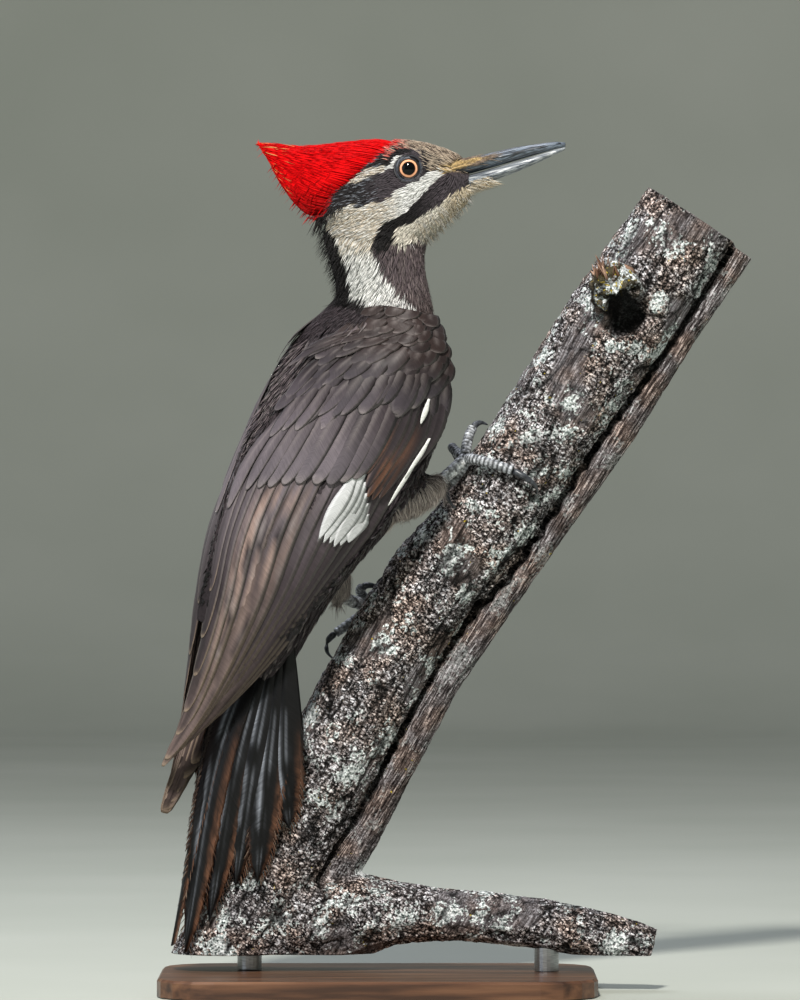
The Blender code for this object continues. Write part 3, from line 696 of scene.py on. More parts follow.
def tufts(name, paths, ups, half, crown, shape, tints, uv, finish, hair=True):
    """A mesh of small feathers. Half widths, crowns and so on are millimetres; paths are metres."""
    count, rows = paths.shape[:2]
    shape = np.asarray(shape)
    right = unit(np.cross(unit(np.gradient(paths, axis=1)), ups))[:, :-1]
    reach = (half[:, None] * shape)[..., None] * MM
    raised = (crown[:, None] * shape)[..., None] * MM
    middle = paths[:, :-1]
    left_edge, right_edge = middle - right * reach, middle + right * reach
    body = np.stack([left_edge, middle + ups[:, :-1] * raised, right_edge], axis=2).reshape(count, -1, 3)
    points = np.concatenate([body, paths[:, -1:]], axis=1)
    place_u = np.concatenate([np.tile([-1.0, 0.0, 1.0], rows - 1) * np.repeat(shape, 3), [0.0]])
    place_v = np.concatenate([np.repeat(np.linspace(0, 1, rows)[:-1], 3), [1.0]])
    length = np.sum(np.linalg.norm(np.diff(paths, axis=1), axis=2), axis=1) / MM
    across, down = place_u[None] * half[:, None], place_v[None] * length[:, None]
    who = np.repeat(rng.random(count)[:, None], points.shape[1], 1)
    barbs = np.stack([down, across, who] if hair else [across, down - 0.8 * np.abs(across), who], axis=2)
    patch = np.stack([place_u * 0.5, place_v - 0.5], axis=1) * PATCH
    tints = np.concatenate([np.repeat(tints[:, :-1], 3, axis=1), tints[:, -1:]], axis=1)
    uv = np.clip(uv[:, None] + patch[None], 0.0, 1.0)
    return feather_mesh(name, points, tuft_faces(rows), tints, barbs, uv, finish)



# %% [markdown]
# ## Where feathers are rooted
# Feathers grow evenly spaced, never in a grid and never two from one pore. Many places are thrown at
# random over the shell, each with the spacing its part of the body asks for, and then a place is
# struck out when an earlier one stands too near.


# %% Even scatter over a surface
def scatter(surface, spacing, wanted):
    """Roots on a surface: the face each stands on, its corner shares and its place. Spacing is in mm."""
    corner = surface["points"][surface["faces"]]
    area = np.linalg.norm(np.cross(corner[:, 1] - corner[:, 0], corner[:, 2] - corner[:, 0]), axis=1) / 2
    many = np.where(wanted, area / (spacing * MM) ** 2 * 3.2, 0)
    face = np.repeat(np.arange(len(area)), (many + rng.random(len(many))).astype(int))
    a, b = np.sqrt(rng.random(len(face))), rng.random(len(face))
    shares = np.stack([1 - a, a * (1 - b), a * b], axis=1)
    places = mixed(surface["points"], surface["faces"][face], shares)
    cell = spacing.max() * MM
    keys = np.floor(places / cell).astype(int).tolist()
    spots, apart = places.tolist(), (spacing[face] * 0.86 * MM).tolist()
    around = [(i, j, k) for i in (-1, 0, 1) for j in (-1, 0, 1) for k in (-1, 0, 1)]
    grid, kept = {}, []
    for i in rng.permutation(len(places)).tolist():
        (x, y, z), (kx, ky, kz), near = spots[i], keys[i], apart[i] ** 2
        beside = (p for dx, dy, dz in around for p in grid.get((kx + dx, ky + dy, kz + dz), ()))
        if all((px - x) ** 2 + (py - y) ** 2 + (pz - z) ** 2 >= near for px, py, pz in beside):
            grid.setdefault((kx, ky, kz), []).append((x, y, z))
            kept.append(i)
    return face[kept], shares[kept], places[kept]


# %% [markdown]
# ## Parts of the coat
# The coat changes by region: hair-fine at the eye, longer down the neck, broad and soft on the breast,
# fringed on the back, silky on the crest. Each region is a row in a table with its feathers' length,
# half width and spacing, and a place asks which row it belongs to.

# %% The regions' table
REGIONS = {
    #            length  half  spacing depth  crown lift  turn  stray
    "eye":      (2.3,   0.24, 0.50,   0.6,   0.10, 0.10, 10.0, 0.10),
    "face":     (4.4,   0.26, 0.56,   0.9,   0.12, 0.14, 10.0, 0.22),
    "crown":    (4.0,   0.25, 0.56,   0.9,   0.12, 0.12, 8.0,  0.14),
    "crest":    (14.0,  0.38, 0.72,   2.0,   0.16, 0.20, 3.5,  0.35),
    "neck":     (9.6,   0.34, 0.74,   1.5,   0.15, 0.24, 7.0,  0.45),
    "breast":   (10.5,  1.55, 1.75,   2.4,   0.40, 0.30, 11.0, 0.35),
    "back":     (13.0,  0.70, 1.25,   2.4,   0.26, 0.45, 11.0, 0.80),
    "rump":     (17.0,  1.30, 1.80,   2.4,   0.35, 0.35, 10.0, 0.40),
    "thigh":    (9.5,   0.22, 0.70,   1.5,   0.14, 0.45, 12.0, 1.30),
    "wing":     (8.0,   1.60, 2.20,   1.2,   0.30, -2.6, 8.0,  0.00),
}
REGION_NAMES = list(REGIONS)
SIZES = np.array(list(REGIONS.values()))


def of_region(region, *names):
    return np.isin(region, [REGION_NAMES.index(name) for name in names])


def from_eye(places):
    """Millimetres from the eye's middle, seen from the side."""
    return np.hypot(places[:, 0] / MM - EYE[0], places[:, 2] / MM - EYE[1])


def region_of(places, owner):
    """The number of the region at each place, with borders broken up a little."""
    shaken = places / MM + 1.2 * np.stack([field(places, 4.0, seed) for seed in (1, 2, 3)], axis=1)
    x, z = shaken[:, 0], shaken[:, 2]
    along, dorsal, _ = in_body(places)
    trunk, head = of_node(owner, "trunk"), of_node(owner, "head")
    red = inside(places[:, [0, 2]] / MM, OUTLINES["red"])
    region = np.full(len(places), REGION_NAMES.index("breast"))
    for name, mask in (
        ("back", trunk & (dorsal > 3) & (along > -62)),
        ("rump", trunk & (along < -58)),
        ("neck", of_node(owner, "neck") | (trunk & (along > 56) & (dorsal < 8))),
        ("face", head),
        ("crown", head & (z > 366) & (x > 6)),
        ("crest", of_node(owner, "crest") | (head & red & (x < 9))),
        ("neck", head & (z < 338) & (x < 6)),
        ("thigh", of_node(owner, "thigh_left", "thigh_right")),
        ("wing", of_node(owner, *WINGS)),
        ("eye", head & (from_eye(places) < 9.2)),
    ):
        region[mask] = REGION_NAMES.index(name)
    return region


def sizes_at(places, region):
    """A row of sizes for each place. Face and neck run into each other, so that no step shows."""
    share = step(348.0, 326.0, places[:, 2] / MM)[:, None]
    run = SIZES[REGION_NAMES.index("face")] * (1 - share) + SIZES[REGION_NAMES.index("neck")] * share
    both = of_region(region, "face", "neck") & (places[:, 2] > 0.31)
    return np.where(both[:, None], run, SIZES[region])


print("regions:", ", ".join(REGION_NAMES))


# %% Roots, and where none may grow
bill_guide = copy_nodes("bill_guide", ["bill_upper", "bill_lower"])
bill = surface_of(bill_guide.data)
LID_EDGE = 5.9  # from the eye's centre to the first feathers


def may_grow(places):
    """No feathers in the eye, inside the bill's root or past the skin of the folded wing."""
    open_eye = (from_eye(places) < LID_EDGE) & (places[:, 2] > 0.34)
    along, _, _ = in_body(places)
    free = ~open_eye & ~((along < WING_END + 16) & of_node(owners(places), *WINGS))
    face = np.nonzero(places[:, 0] > 0.024)[0]
    if len(face):
        on_bill, out, _, far, _ = land(bill, places[face])
        within = dot(places[face] - on_bill, out) < 0.0
        free[face[within | (far < 0.0005)]] = False
    return free


face_middle = coat["points"][coat["faces"]].mean(axis=1)
face_spacing = sizes_at(face_middle, region_of(face_middle, owners(face_middle)))[:, 2]
root_face, shares, roots = scatter(coat, face_spacing, may_grow(face_middle))
root_normals = unit(mixed(coat["normals"], coat["faces"][root_face], shares))
root_uv = mixed(skin_uv, coat["loops"][root_face], shares)
root_owner = owners(roots)
root_region = region_of(roots, root_owner)
root_sizes = sizes_at(roots, root_region)
for number, name in enumerate(REGION_NAMES):
    print(f"{name:8s}", int(np.sum(root_region == number)), "feathers")

# %% [markdown]
# ## The lie of the coat
# Feathers point away from the bill and down the body, and each region bends that a little: back over
# the crown, up and back through the crest, slantwise on the sides of the neck, down each thigh to the
# ankle. The direction is then laid into the surface, so feathers never stab in or out.

# %% Which way feathers lie
BILL_BASE = np.array([33.0, 366.0])
ANKLES = {"thigh_right": (30.0, -15.0, 229.5), "thigh_left": (-16.5, 19.0, 176.5)}
CREST_TIP = np.array([-54.0, 379.5])
CREST_AIM = np.array([-80.0, 384.0])  # past the tip, so that no feather turns back on itself


def lie(places, ups, region, owner, turn):
    """Unit directions along the coat, each turned about its normal by its own angle."""
    mm = places / MM
    level = np.zeros(len(mm))
    way = np.tile(-TRUNK_UP, (len(places), 1))
    head = of_region(region, "eye", "face", "crown")
    from_bill = unit(mm[:, [0, 2]] - BILL_BASE)
    back = unit(np.stack([from_bill[:, 0] - 0.75, level, from_bill[:, 1] - 0.35], axis=1))
    way[head] = back[head]
    way[of_region(region, "crown")] = unit(np.array([-1.0, 0.0, 0.28]))
    crest = of_region(region, "crest")
    to_tip = unit(CREST_AIM - mm[:, [0, 2]])
    low = step(362, 346, mm[:, 2])[:, None]
    high = step(372, 380, mm[:, 2])[:, None]
    aim = np.stack([to_tip[:, 0], level, to_tip[:, 1] * 0.75 + 0.05], axis=1)
    aim = aim * (1 - 0.35 * low) + np.array([-0.75, 0.0, -0.10]) * low * 0.6 - np.array([0.3, 0, 0.05]) * high
    way[crest] = unit(aim[crest])
    neck = of_region(region, "neck")
    front = step(-2.0, 14.0, mm[:, 0])[:, None]
    slant = np.array([-0.50, 0.0, -0.86]) * (1 - front) + np.array([-0.12, 0.0, -1.0]) * front
    low_neck = step(318, 300, mm[:, 2])[:, None]
    way[neck] = unit(slant * (1 - low_neck) + -TRUNK_UP * low_neck)[neck]
    for node, ankle in ANKLES.items():
        on = of_node(owner, node)
        to_ankle = unit(np.array(ankle) - mm)
        way[on] = unit(to_ankle * 0.35 + np.array([-0.12, 0.0, -0.80]))[on]
    way = unit(way - ups * dot(way, ups)[:, None])
    sideways = np.cross(ups, way)
    return way * np.cos(turn)[:, None] + sideways * np.sin(turn)[:, None]


def comb(places, ups, rows, ahead_of, lengths, surface, leave_mm):
    """Rows of places stepped from each root over a surface, and the normals there. A step that would
    end further off than leave_mm stands clear of the surface."""
    path, out = [places], [ups]
    for _ in range(rows - 1):
        reach = path[-1] + ahead_of(path[-1], out[-1]) * (lengths / (rows - 1) * MM)[:, None]
        landed, normal, _, far, _ = land(surface, reach)
        loose = (far > leave_mm * MM)[:, None]
        path.append(np.where(loose, reach, landed))
        out.append(np.where(loose, out[-1], normal))
    return np.stack(path, axis=1), np.stack(out, axis=1)


print("lie of the coat: towards", CREST_AIM, "on the crest")

# %% [markdown]
# ## Growing the coat
# Each feather starts a little under the coat, rises within the first third, then lies along it, its
# tip standing a hair clear. Roots are darker, because light hardly reaches them, and each feather is a
# shade lighter or darker than the next.

# %% What each region's feathers are made of
LOOKS = {
    #          rows  shape                        material                    slot
    "eye":    (4, (0.6, 1.0, 0.7), "contour_feather_keratin", "face_pattern"),
    "face":   (4, (0.6, 1.0, 0.6), "contour_feather_keratin", "face_pattern"),
    "crown":  (4, (0.6, 1.0, 0.6), "contour_feather_keratin", "face_pattern"),
    "crest":  (6, (0.5, 1.0, 1.0, 0.8, 0.45), "crest_feather_silk", "crest_red"),
    "neck":   (5, (0.55, 1.0, 0.85, 0.5), "contour_feather_keratin", "face_pattern"),
    "breast": (5, (0.5, 0.95, 1.0, 0.72), "down_feather_soft", "plumage_black"),
    "back":   (6, (0.45, 0.9, 1.0, 0.9, 0.55), "contour_feather_keratin", "plumage_black"),
    "rump":   (6, (0.45, 0.9, 1.0, 0.9, 0.6), "contour_feather_keratin", "plumage_black"),
    "thigh":  (4, (0.6, 1.0, 0.6), "down_feather_soft", "plumage_black"),
    "wing":   (4, (0.6, 1.0, 0.8), "contour_feather_keratin", "plumage_black"),
}


def region_tones(name, at, count):
    """Each feather's own colour from the markings, then the small differences its region has."""
    tone = plumage(at)
    shade = 1 + (0.10 if name == "crest" else 0.16) * rng.standard_normal(count)[:, None]
    pale = rng.random(count)
    x, z = at[:, 0] / MM, at[:, 2] / MM
    if name in ("face", "neck"):
        # painted shade on the white cheek below the crest
        shaded_cheek = step(12.0, 2.0, x) * step(326.0, 334.0, z) * (tone.mean(axis=1) > 0.4)
        tone = blend(tone, CHEEK_SHADE, shaded_cheek * (0.25 + 0.6 * (pale > 0.4)))
        # painted highlight: a few flecks of sheen on the dark feathers behind the eye
        ear_sheen_zone = step(6.0, -2.0, x) * step(344.0, 350.0, z) * (tone.mean(axis=1) < 0.06)
        tone = blend(tone, EAR_SHEEN_FLECK, ear_sheen_zone * (pale > 0.80) * 0.7)
    if name == "crest":
        # painted highlight: a few golden fibres over the upper rear crest
        glinting = (pale > 0.93) & (x < -36) & (z > 355)
        tone = np.where(glinting[:, None], CREST_GLINT_GOLD, tone)
    if name == "crown":
        streak = pale[:, None]
        tone = np.where(streak > 0.45, blend(tone, CROWN_STREAK, 0.75), tone)
        tone = np.where(streak < 0.22, tone * 0.18, tone)
        tone = blend(tone, CREST_RED, step(0.016, 0.008, at[:, 0]) * (pale > 0.6) * 0.6)
    if name == "thigh":
        tone = blend(THIGH_DARK, THIGH_PALE, step(0.0, 0.8, pale))
    if name == "breast":
        tone = blend(tone, NECK_BROWN, (pale > 0.7) * 0.4)
    if name == "back":
        tone = blend(tone, BACK_GREY, (pale > 0.5) * 0.5)
    if name == "neck":
        tone = blend(tone, NECK_FRINGE, step(0.0, 0.012, at[:, 0]) * (pale > 0.7) * 0.6)
    return np.clip(tone * np.clip(shade, 0.6, 1.5), 0, 1)


# %% Small feathers, region by region
for number, name in enumerate(REGION_NAMES):
    here = np.nonzero(root_region == number)[0]
    length, half, _, sink, crown, lift, turn, stray = root_sizes[here].T
    rows, shape, finish, slot = LOOKS[name]
    count = len(here)
    lengths = length * (0.82 + 0.36 * rng.random(count))
    if name == "crest":
        left_over = np.hypot(*(roots[here][:, [0, 2]] / MM - CREST_TIP).T)
        lengths = np.minimum(lengths, left_over * 0.9 + 1.5 + rng.random(count))
    halves = half * (0.8 + 0.4 * rng.random(count))
    locks = field(roots[here], 5.5, 21)  # neighbours turn together, as locks do
    turns = np.radians(turn) * (0.55 * rng.standard_normal(count) + 1.6 * locks)

    def along_coat(places, ups):
        return lie(places, ups, root_region[here], root_owner[here], turns)

    paths, ups = comb(roots[here], root_normals[here], rows, along_coat, lengths, coat, 1.6)
    share = np.linspace(0, 1, rows)
    rise = -sink[:, None] * (1 - step(0.0, 0.75, share)) * 0.75 - crown[:, None]
    rise = rise + (lift + crown * 0.4)[:, None] * share**2
    strays = stray[:, None] * rng.random(count)[:, None] ** 3 * share[None] ** 2 * 2
    paths = paths + ups * ((rise + strays) * MM)[..., None]
    tone = region_tones(name, paths[:, rows // 2], count)
    pale = step(0.15, 0.5, tone.mean(axis=1))[:, None]
    dark = 0.45 + 0.4 * pale + (0.55 - 0.4 * pale) * step(0.0, 0.6, share)[None]
    tints = tone[:, None] * dark[..., None]
    if name in ("back", "rump"):
        fringe = (rng.random(count) < 0.32)[:, None] * step(0.55, 0.95, share)[None]
        tints = blend(tints, FRINGE, 0.6 * fringe)
    if name == "thigh":
        tints = blend(tints, THIGH_TIP, 0.6 * step(0.5, 1.0, share)[None])
    tufts(
        f"coat_{name}", paths, ups, halves, crown, shape, tints, root_uv[here], finish,
        hair=name not in ("breast", "back", "rump", "wing"),
    )

# %% [markdown]
# ## Loose feathers
# Some feathers stand off the coat: the ragged black hairs of the nape below the crest, the crest's own
# rear edge and the bristles of the chin. They are the same small feathers, but each goes its own way
# from its root and bends as it goes, instead of being laid on the shell.


# %% Strands that leave the coat
def strands(name, starts, ways, lengths, half, tones, finish, bend=(0.0, 0.0, 0.0)):
    share = np.linspace(0, 1, 5)
    reach = unit(ways)[:, None] * share[:, None] + np.asarray(bend, float) * (share**2)[:, None]
    paths = starts[:, None] + reach * (lengths * MM)[:, None, None]
    _, out, face, _, corner = land(coat, starts)
    ahead = unit(np.gradient(paths, axis=1))
    ups = unit(out[:, None] - ahead * dot(out[:, None], ahead)[..., None])
    uv = mixed(skin_uv, coat["loops"][face], corner)
    # painted shade: each strand darker towards its root, where little light reaches
    tints = np.clip(tones[:, None] * (0.6 + 0.4 * share)[:, None], 0, 1)
    many = np.ones(len(starts))
    tufts(name, paths, ups, many * half, many * 0.08, (0.7, 1.0, 0.8, 0.45), tints, uv, finish)


def handful(mask, count, stand, way, spread):
    """A random handful of the coat's roots, and which way each strand leaves the skin."""
    some = rng.choice(np.nonzero(mask)[0], count, replace=False)
    stray = spread * rng.standard_normal((count, 3))
    return some, root_normals[some] * stand + np.array(way) + stray


NAPE, EDGE, CHIN = 520, 150, 420  # how many strands each has
root_x, root_z = roots[:, 0] / MM, roots[:, 2] / MM
rear = root_normals[:, 0] < -0.1
dark_here = plumage(roots).mean(axis=1) < 0.05
below_crest = (root_z > 306) & (root_z < 352) & (root_x < -14)
at, ways = handful(rear & dark_here & below_crest, NAPE, 0.26, (-0.30, 0.0, -0.85), 0.22)
strands(
    "nape_hairs", roots[at], ways, 4.5 + 4.0 * rng.random(NAPE) * step(306.0, 345.0, root_z[at]), 0.20,
    JET * (0.8 + 0.6 * rng.random((NAPE, 1))), "contour_feather_keratin", (-0.05, 0.0, -0.15),
)
rear_crest = of_region(root_region, "crest") & rear & (root_x < -20)
at, ways = handful(rear_crest, EDGE, 0.05, (-0.60, 0.0, -0.62), 0.08)
# the edge hairs take a random share of the painted shade red
strands(
    "crest_edge", roots[at], ways, 2.6 + 2.0 * rng.random(EDGE), 0.20,
    blend(CREST_RED, CREST_SHADE_RED, rng.random(EDGE) * 0.8), "crest_feather_silk",
    (0.0, 0.0, -0.15),
)
chin = (root_x > 14) & inside(roots[:, [0, 2]] / MM, OUTLINES["throat"]) & (root_normals[:, 2] < 0.1)
at, ways = handful(chin, CHIN, 0.35, (0.25, 0.0, -0.70), 0.25)
strands(
    "chin_beard", roots[at], ways, 2.2 + 2.6 * rng.random(CHIN), 0.13,
    blend(BUFF, WHITE, rng.random(CHIN)) * (0.5 + 0.5 * rng.random((CHIN, 1))),
    "contour_feather_keratin",
)

# %% [markdown]
# ## Vanes: the large feathers
# Wing and tail feathers are broad, stiff and few, so each gets a real vane: a grid of points across and
# along, arched over its shaft, thin at the rim and closed below. Neighbours overlap like roof tiles,
# each with its outer edge over the next one's inner edge.


# %% Faces of a vane, and vanes from grids
def vane_faces(rows, columns):
    """Closed thin lens: the top grid, the bottom without its rims, and an end cap at each end."""
    def top(r, c):
        return r * columns + c

    def low(r, c):
        return top(r, c) if c in (0, columns - 1) else rows * columns + r * (columns - 2) + c - 1

    quads = []
    for r in range(rows - 1):
        for c in range(columns - 1):
            quads.append((top(r, c), top(r, c + 1), top(r + 1, c + 1), top(r + 1, c)))
            quads.append((low(r, c), low(r + 1, c), low(r + 1, c + 1), low(r, c + 1)))
    caps = []
    for r, turned in ((0, False), (rows - 1, True)):
        ring = [top(r, c) for c in range(columns)] + [low(r, c) for c in range(columns - 2, 0, -1)]
        caps.append(ring if turned else ring[::-1])
    return [np.array(quads), np.array(caps)]


def vanes(name, grid, ups, thick, tints, barbs, uv, finish):
    """Grid is feathers × rows × columns × 3. Thick is the middle's thickness in mm at each row."""
    count, rows, columns = grid.shape[:3]
    across = np.linspace(-1, 1, columns)
    lens = (1 - across**2)[None, None, :] * thick[:, :, None] * MM
    turned = np.cross(grid[:, 1:, 1:] - grid[:, :-1, :-1], grid[:, 1:, :-1] - grid[:, :-1, 1:])
    template = vane_faces(rows, columns)
    if dot(turned, ups[:, :-1, :-1]).sum() > 0:
        template = [group[:, ::-1] for group in template]

    def both(upper, lower):
        width = upper.shape[-1]
        return np.concatenate(
            [upper.reshape(count, -1, width), lower[:, :, 1:-1].reshape(count, -1, width)], axis=1
        )

    points = both(grid, grid - ups * lens[..., None])
    return feather_mesh(
        name, points, template, both(tints, tints), both(barbs, barbs), both(uv, uv), finish
    )


# %% [markdown]
# ## The folded wing as a map
# A folded wing is a curved fan. It is mapped once: one number runs from the shoulder to the wing tip,
# the other from the edge that lies on the back to the leading edge. Every covert and quill is then
# placed on that map, and bends with the wing by itself. The stations are those of the solid.

# %% The wing's outer surface
WING_STATIONS = np.array([
    ((70, 22, 14), (73, 16, 22), (75, 6, 26), (76, -5, 22)),
    ((58, 28, 13), (61, 18, 24), (65, 6, 34.5), (66, -12, 33)),
    ((40, 38.5, 12), (44, 27, 26), (48, 9, 40), (52, -18, 38.5)),
    ((10, 43.5, 8), (14, 34, 24.5), (20, 12, 43), (31, -24, 39)),
    ((-20, 47, 1.5), (-14, 37, 22), (-8, 13, 42), (9, -20.5, 38)),
    ((-50, 43.5, 0.6), (-44, 38, 21), (-36, 13.5, 37), (-20, -16, 36)),
    ((-80, 36, 0.6), (-74, 32.5, 19), (-64, 13, 32), (-52, -7, 32)),
    ((-110, 29, 0.6), (-104, 26, 13), (-96, 13.5, 23), (-88, -0.5, 25)),
    ((-137, 23.5, 0.6), (-133, 21, 7), (-128, 14.5, 12.5), (-122, 6, 13)),
    ((-157, 21, 1), (-158.5, 20.5, 3), (-158.5, 19, 4), (-157, 18, 4.5)),
], float)
LEFT_WING_SHIFT = (-21.0, -9.5, -8.0)  # its tip lies lower, nearer the limb and less open
WING_TENTHS = np.linspace(0, 1, 11)
WING_WIDTH = [33, 48, 66, 83, 93, 92, 81, 63, 45, 26, 6]  # mm across at each tenth of the way


def on_wing(t, s, side):
    """World metres at each t along and s across. Past an edge it goes straight on."""
    t, s = np.broadcast_arrays(np.asarray(t, float), np.asarray(s, float))
    shape, t, s = t.shape, t.ravel(), s.ravel()
    rows = line(WING_STATIONS, t)
    ends = np.concatenate([rows[:, :1] * 2 - rows[:, 1:2], rows, rows[:, -1:] * 2 - rows[:, -2:-1]], axis=1)
    each = np.arange(len(t))

    def across(share):
        place = share * 3
        i = np.minimum(place.astype(int), 2)
        u = (place - i)[:, None]
        a, b, c, d = (ends[each, i + k] for k in range(4))
        return (
            b * 2 + (c - a) * u + (a * 2 - b * 5 + c * 4 - d) * u**2 + (b * 3 - a - c * 3 + d) * u**3
        ) / 2

    held = np.clip(s, 0, 1)
    slope = (across(np.clip(held + 0.02, 0, 1)) - across(np.clip(held - 0.02, 0, 1))) / 0.03
    place = across(held) + slope * (s - held)[:, None]
    late = t**2 if side < 0 else 0 * t
    slide, sink, droop = LEFT_WING_SHIFT
    along = place[:, 0] + slide * late
    dorsal = place[:, 1] + (sink + droop * held) * late
    return body_point(along, dorsal, side * place[:, 2]).reshape(*shape, 3)


def wing_out(t, s, side):
    """Outward unit normal of the wing's surface."""
    down = on_wing(np.clip(t + 0.01, 0, 1), s, side) - on_wing(np.clip(t - 0.01, 0, 1), s, side)
    over = on_wing(t, np.clip(s + 0.02, 0, 1), side) - on_wing(t, np.clip(s - 0.02, 0, 1), side)
    return unit(np.cross(down, over)) * side


check = wing_out(np.array([0.4]), np.array([0.6]), 1)[0]
print("wing faces its own side:", round(float(dot(check, BIRD_RIGHT)), 2))


# %% [markdown]
# ## Rows of wing feathers
# A row is a list of feathers, each with the place of its root and tip on the map and its half width.
# The outline swells from the quill, holds, and rounds off at the tip. Heights are measured from the
# solid's surface: quills lie lowest and the smallest coverts on top.


# %% One row of wing feathers for both wings
def wing_row(
    name, start_t, start_s, end_t, end_s, half, rows, columns, height, tone_at,
    roundness=2.4, tilt=0.5, arch=0.5, sink=0.9, lift=0.25, thick=0.45, least=0.0, bow=0.0, loose=0.0,
):
    """Sizes and heights in mm. Tilt raises the outer edge, arch the shaft and lift the tip; sink lowers
    the root. Least is the narrowest half width, and loose is how far tips and widths stray."""
    start_t, start_s, end_t, end_s, height = (
        np.asarray(v, float) for v in (start_t, start_s, end_t, end_s, height)
    )
    count = len(start_t)
    height = np.broadcast_to(height, count)
    end_t = end_t + 0.9 * loose * rng.standard_normal(count)
    end_s = end_s + 1.6 * loose * rng.standard_normal(count)
    half = half * (1 + 9.0 * loose * rng.standard_normal(count))
    share = 1 - (1 - np.linspace(0, 1, rows)) ** 1.5
    across = np.linspace(-1, 1, columns)
    swell = 0.45 + 0.55 * step(0.0, 0.45, share)
    tip = np.clip((share - 0.55) / 0.45, 0, 1)
    outline = swell * np.clip(1 - tip**roundness, 0, 1) ** (1 / roundness)
    outline[-1] = 0.12
    t = start_t[:, None] + (end_t - start_t)[:, None] * share
    s = start_s[:, None] + (end_s - start_s)[:, None] * share + bow * np.sin(math.pi * share)
    width = np.interp(t, WING_TENTHS, WING_WIDTH)
    reach = np.maximum(half[:, None], least) * outline / width
    grid_t = np.repeat(t[..., None], columns, axis=2)
    grid_s = s[..., None] + reach[..., None] * across
    rise = (
        height[:, None, None]
        + tilt * across * outline[None, :, None]
        + arch * (1 - across**2) * outline[None, :, None]
        - sink * (1 - step(0.0, 0.5, share))[None, :, None]
        + lift * (share**4)[None, :, None]
    )
    rise = rise + 0.12 * rng.standard_normal((count, 1, 1))
    thicks = thick * np.broadcast_to(0.35 + 0.65 * np.sin(math.pi * np.clip(share, 0.05, 0.95)), t.shape)
    patch = np.stack(np.broadcast_arrays(across[None, :] * 0.5, share[:, None] - 0.5), axis=-1)
    for side, label in ((1, "right"), (-1, "left")):
        place = on_wing(grid_t, grid_s, side)
        out = wing_out(grid_t, np.clip(grid_s, 0, 1), side)
        ruffle = 0.16 * field(place.reshape(-1, 3), 2.2, 9).reshape(rise.shape) * share[None, :, None] ** 2
        grid = place + out * ((rise + ruffle) * MM)[..., None]
        shaft = place[:, :, columns // 2]
        length = np.linalg.norm(shaft[:, -1] - shaft[:, 0], axis=1) / MM
        u = reach[..., None] * across * width[..., None]
        v = share[None, :, None] * length[:, None, None] + 0 * u
        who = np.broadcast_to(rng.random(count)[:, None, None], u.shape)
        barbs = np.stack([u, v - 0.9 * np.abs(u), who], axis=-1)
        whole = np.broadcast_to(across, u.shape)
        tints = tone_at(grid_t, grid_s, whole, share[None, :, None] + 0 * u, who)
        face = land(coat, shaft[:, 0])[2]
        base_uv = skin_uv[coat["loops"][face]].mean(axis=1)
        size = PATCH * np.clip(length / 18, 1, 3)[:, None, None, None]
        uv = np.clip(base_uv[:, None, None] + patch[None] * size, 0, 1)
        vanes(
            f"{name}_{label}", grid, out, thicks, np.clip(tints, 0, 1), barbs, uv, "flight_feather_keratin"
        )


# %% [markdown]
# ## Colours over the wing
# The wing is slate, darkest and brownest at the shoulder, and painted paler over the middle where the
# light fell. Each feather has a dark shaft, a paler frayed rim and its own shade. Streaks that run down
# the map keep neighbouring feathers alike, as they have worn together.


# %% Ground colour, and the tones of coverts
def streaks(t, s, fine=90.0, seed=11):
    """Random streaks that run down the wing."""
    flat = np.stack([t.ravel() * 9.0, s.ravel() * fine, np.zeros(t.size)], axis=1)
    return field(flat, 1000.0, seed).reshape(t.shape)


def shaft_line(u, width):
    """1 along the middle of a feather, fading off to either side."""
    return np.exp(-((u / width) ** 2))


def wing_ground(t, s):
    """Slate: darkest at the shoulder and the leading edge, painted paler over the middle where light fell."""
    tone = np.broadcast_to(SLATE, (*t.shape, 3)).copy()
    tone = blend(tone, SLATE_DEEP, step(0.38, 0.14, t) * 0.9)
    # painted light over the middle of the wing
    lit_middle = step(0.26, 0.42, t) * step(0.66, 0.45, t) * step(0.82, 0.55, s)
    tone = blend(tone, WING_LIT_GREY, lit_middle * 0.6)
    tone = tone * (1 + 0.22 * streaks(t, s, 110.0, 15) + 0.20 * streaks(t * 2.0, s, 7.0, 16))[..., None]
    tone = blend(tone, WORN, step(0.72, 0.95, t) * 0.35)
    return blend(tone, SLATE_DEEP, step(0.72, 0.9, s) * step(0.5, 0.6, t) * 0.3)


def covert_tone(t, s, u, v, who):
    shoulder = step(0.27, 0.13, t)
    # painted light: each covert darker at its root, as shade under the row above, and bluish towards its tip,
    # as a painted sheen
    tone = wing_ground(t, s) * ((0.62 + 0.6 * who) * (0.72 + 0.36 * step(0.2, 0.8, v)))[..., None]
    tone = blend(tone, SLATE_SHEEN_BLUE, step(0.3, 0.9, v) * 0.25 * (1 - shoulder))
    tone = blend(tone, SHOULDER_BROWN, shoulder * (0.30 + 0.35 * np.abs(np.sin(9.0 * who))))
    tone = blend(tone, FRINGE, shaft_line(u, 0.05) * 0.22 * step(0.75, 0.5, v))
    rim = np.maximum(step(0.88, 1.0, v), step(0.82, 1.0, np.abs(u)) * step(0.4, 0.8, v))
    return blend(tone, FRINGE, rim * (0.10 + 0.40 * who))


# %% Tones of the quills, with the white patch
PATCH_CORNERS = [(0.43, 0.655), (0.445, 0.74), (0.52, 0.87), (0.54, 0.86), (0.515, 0.655)]  # on the map


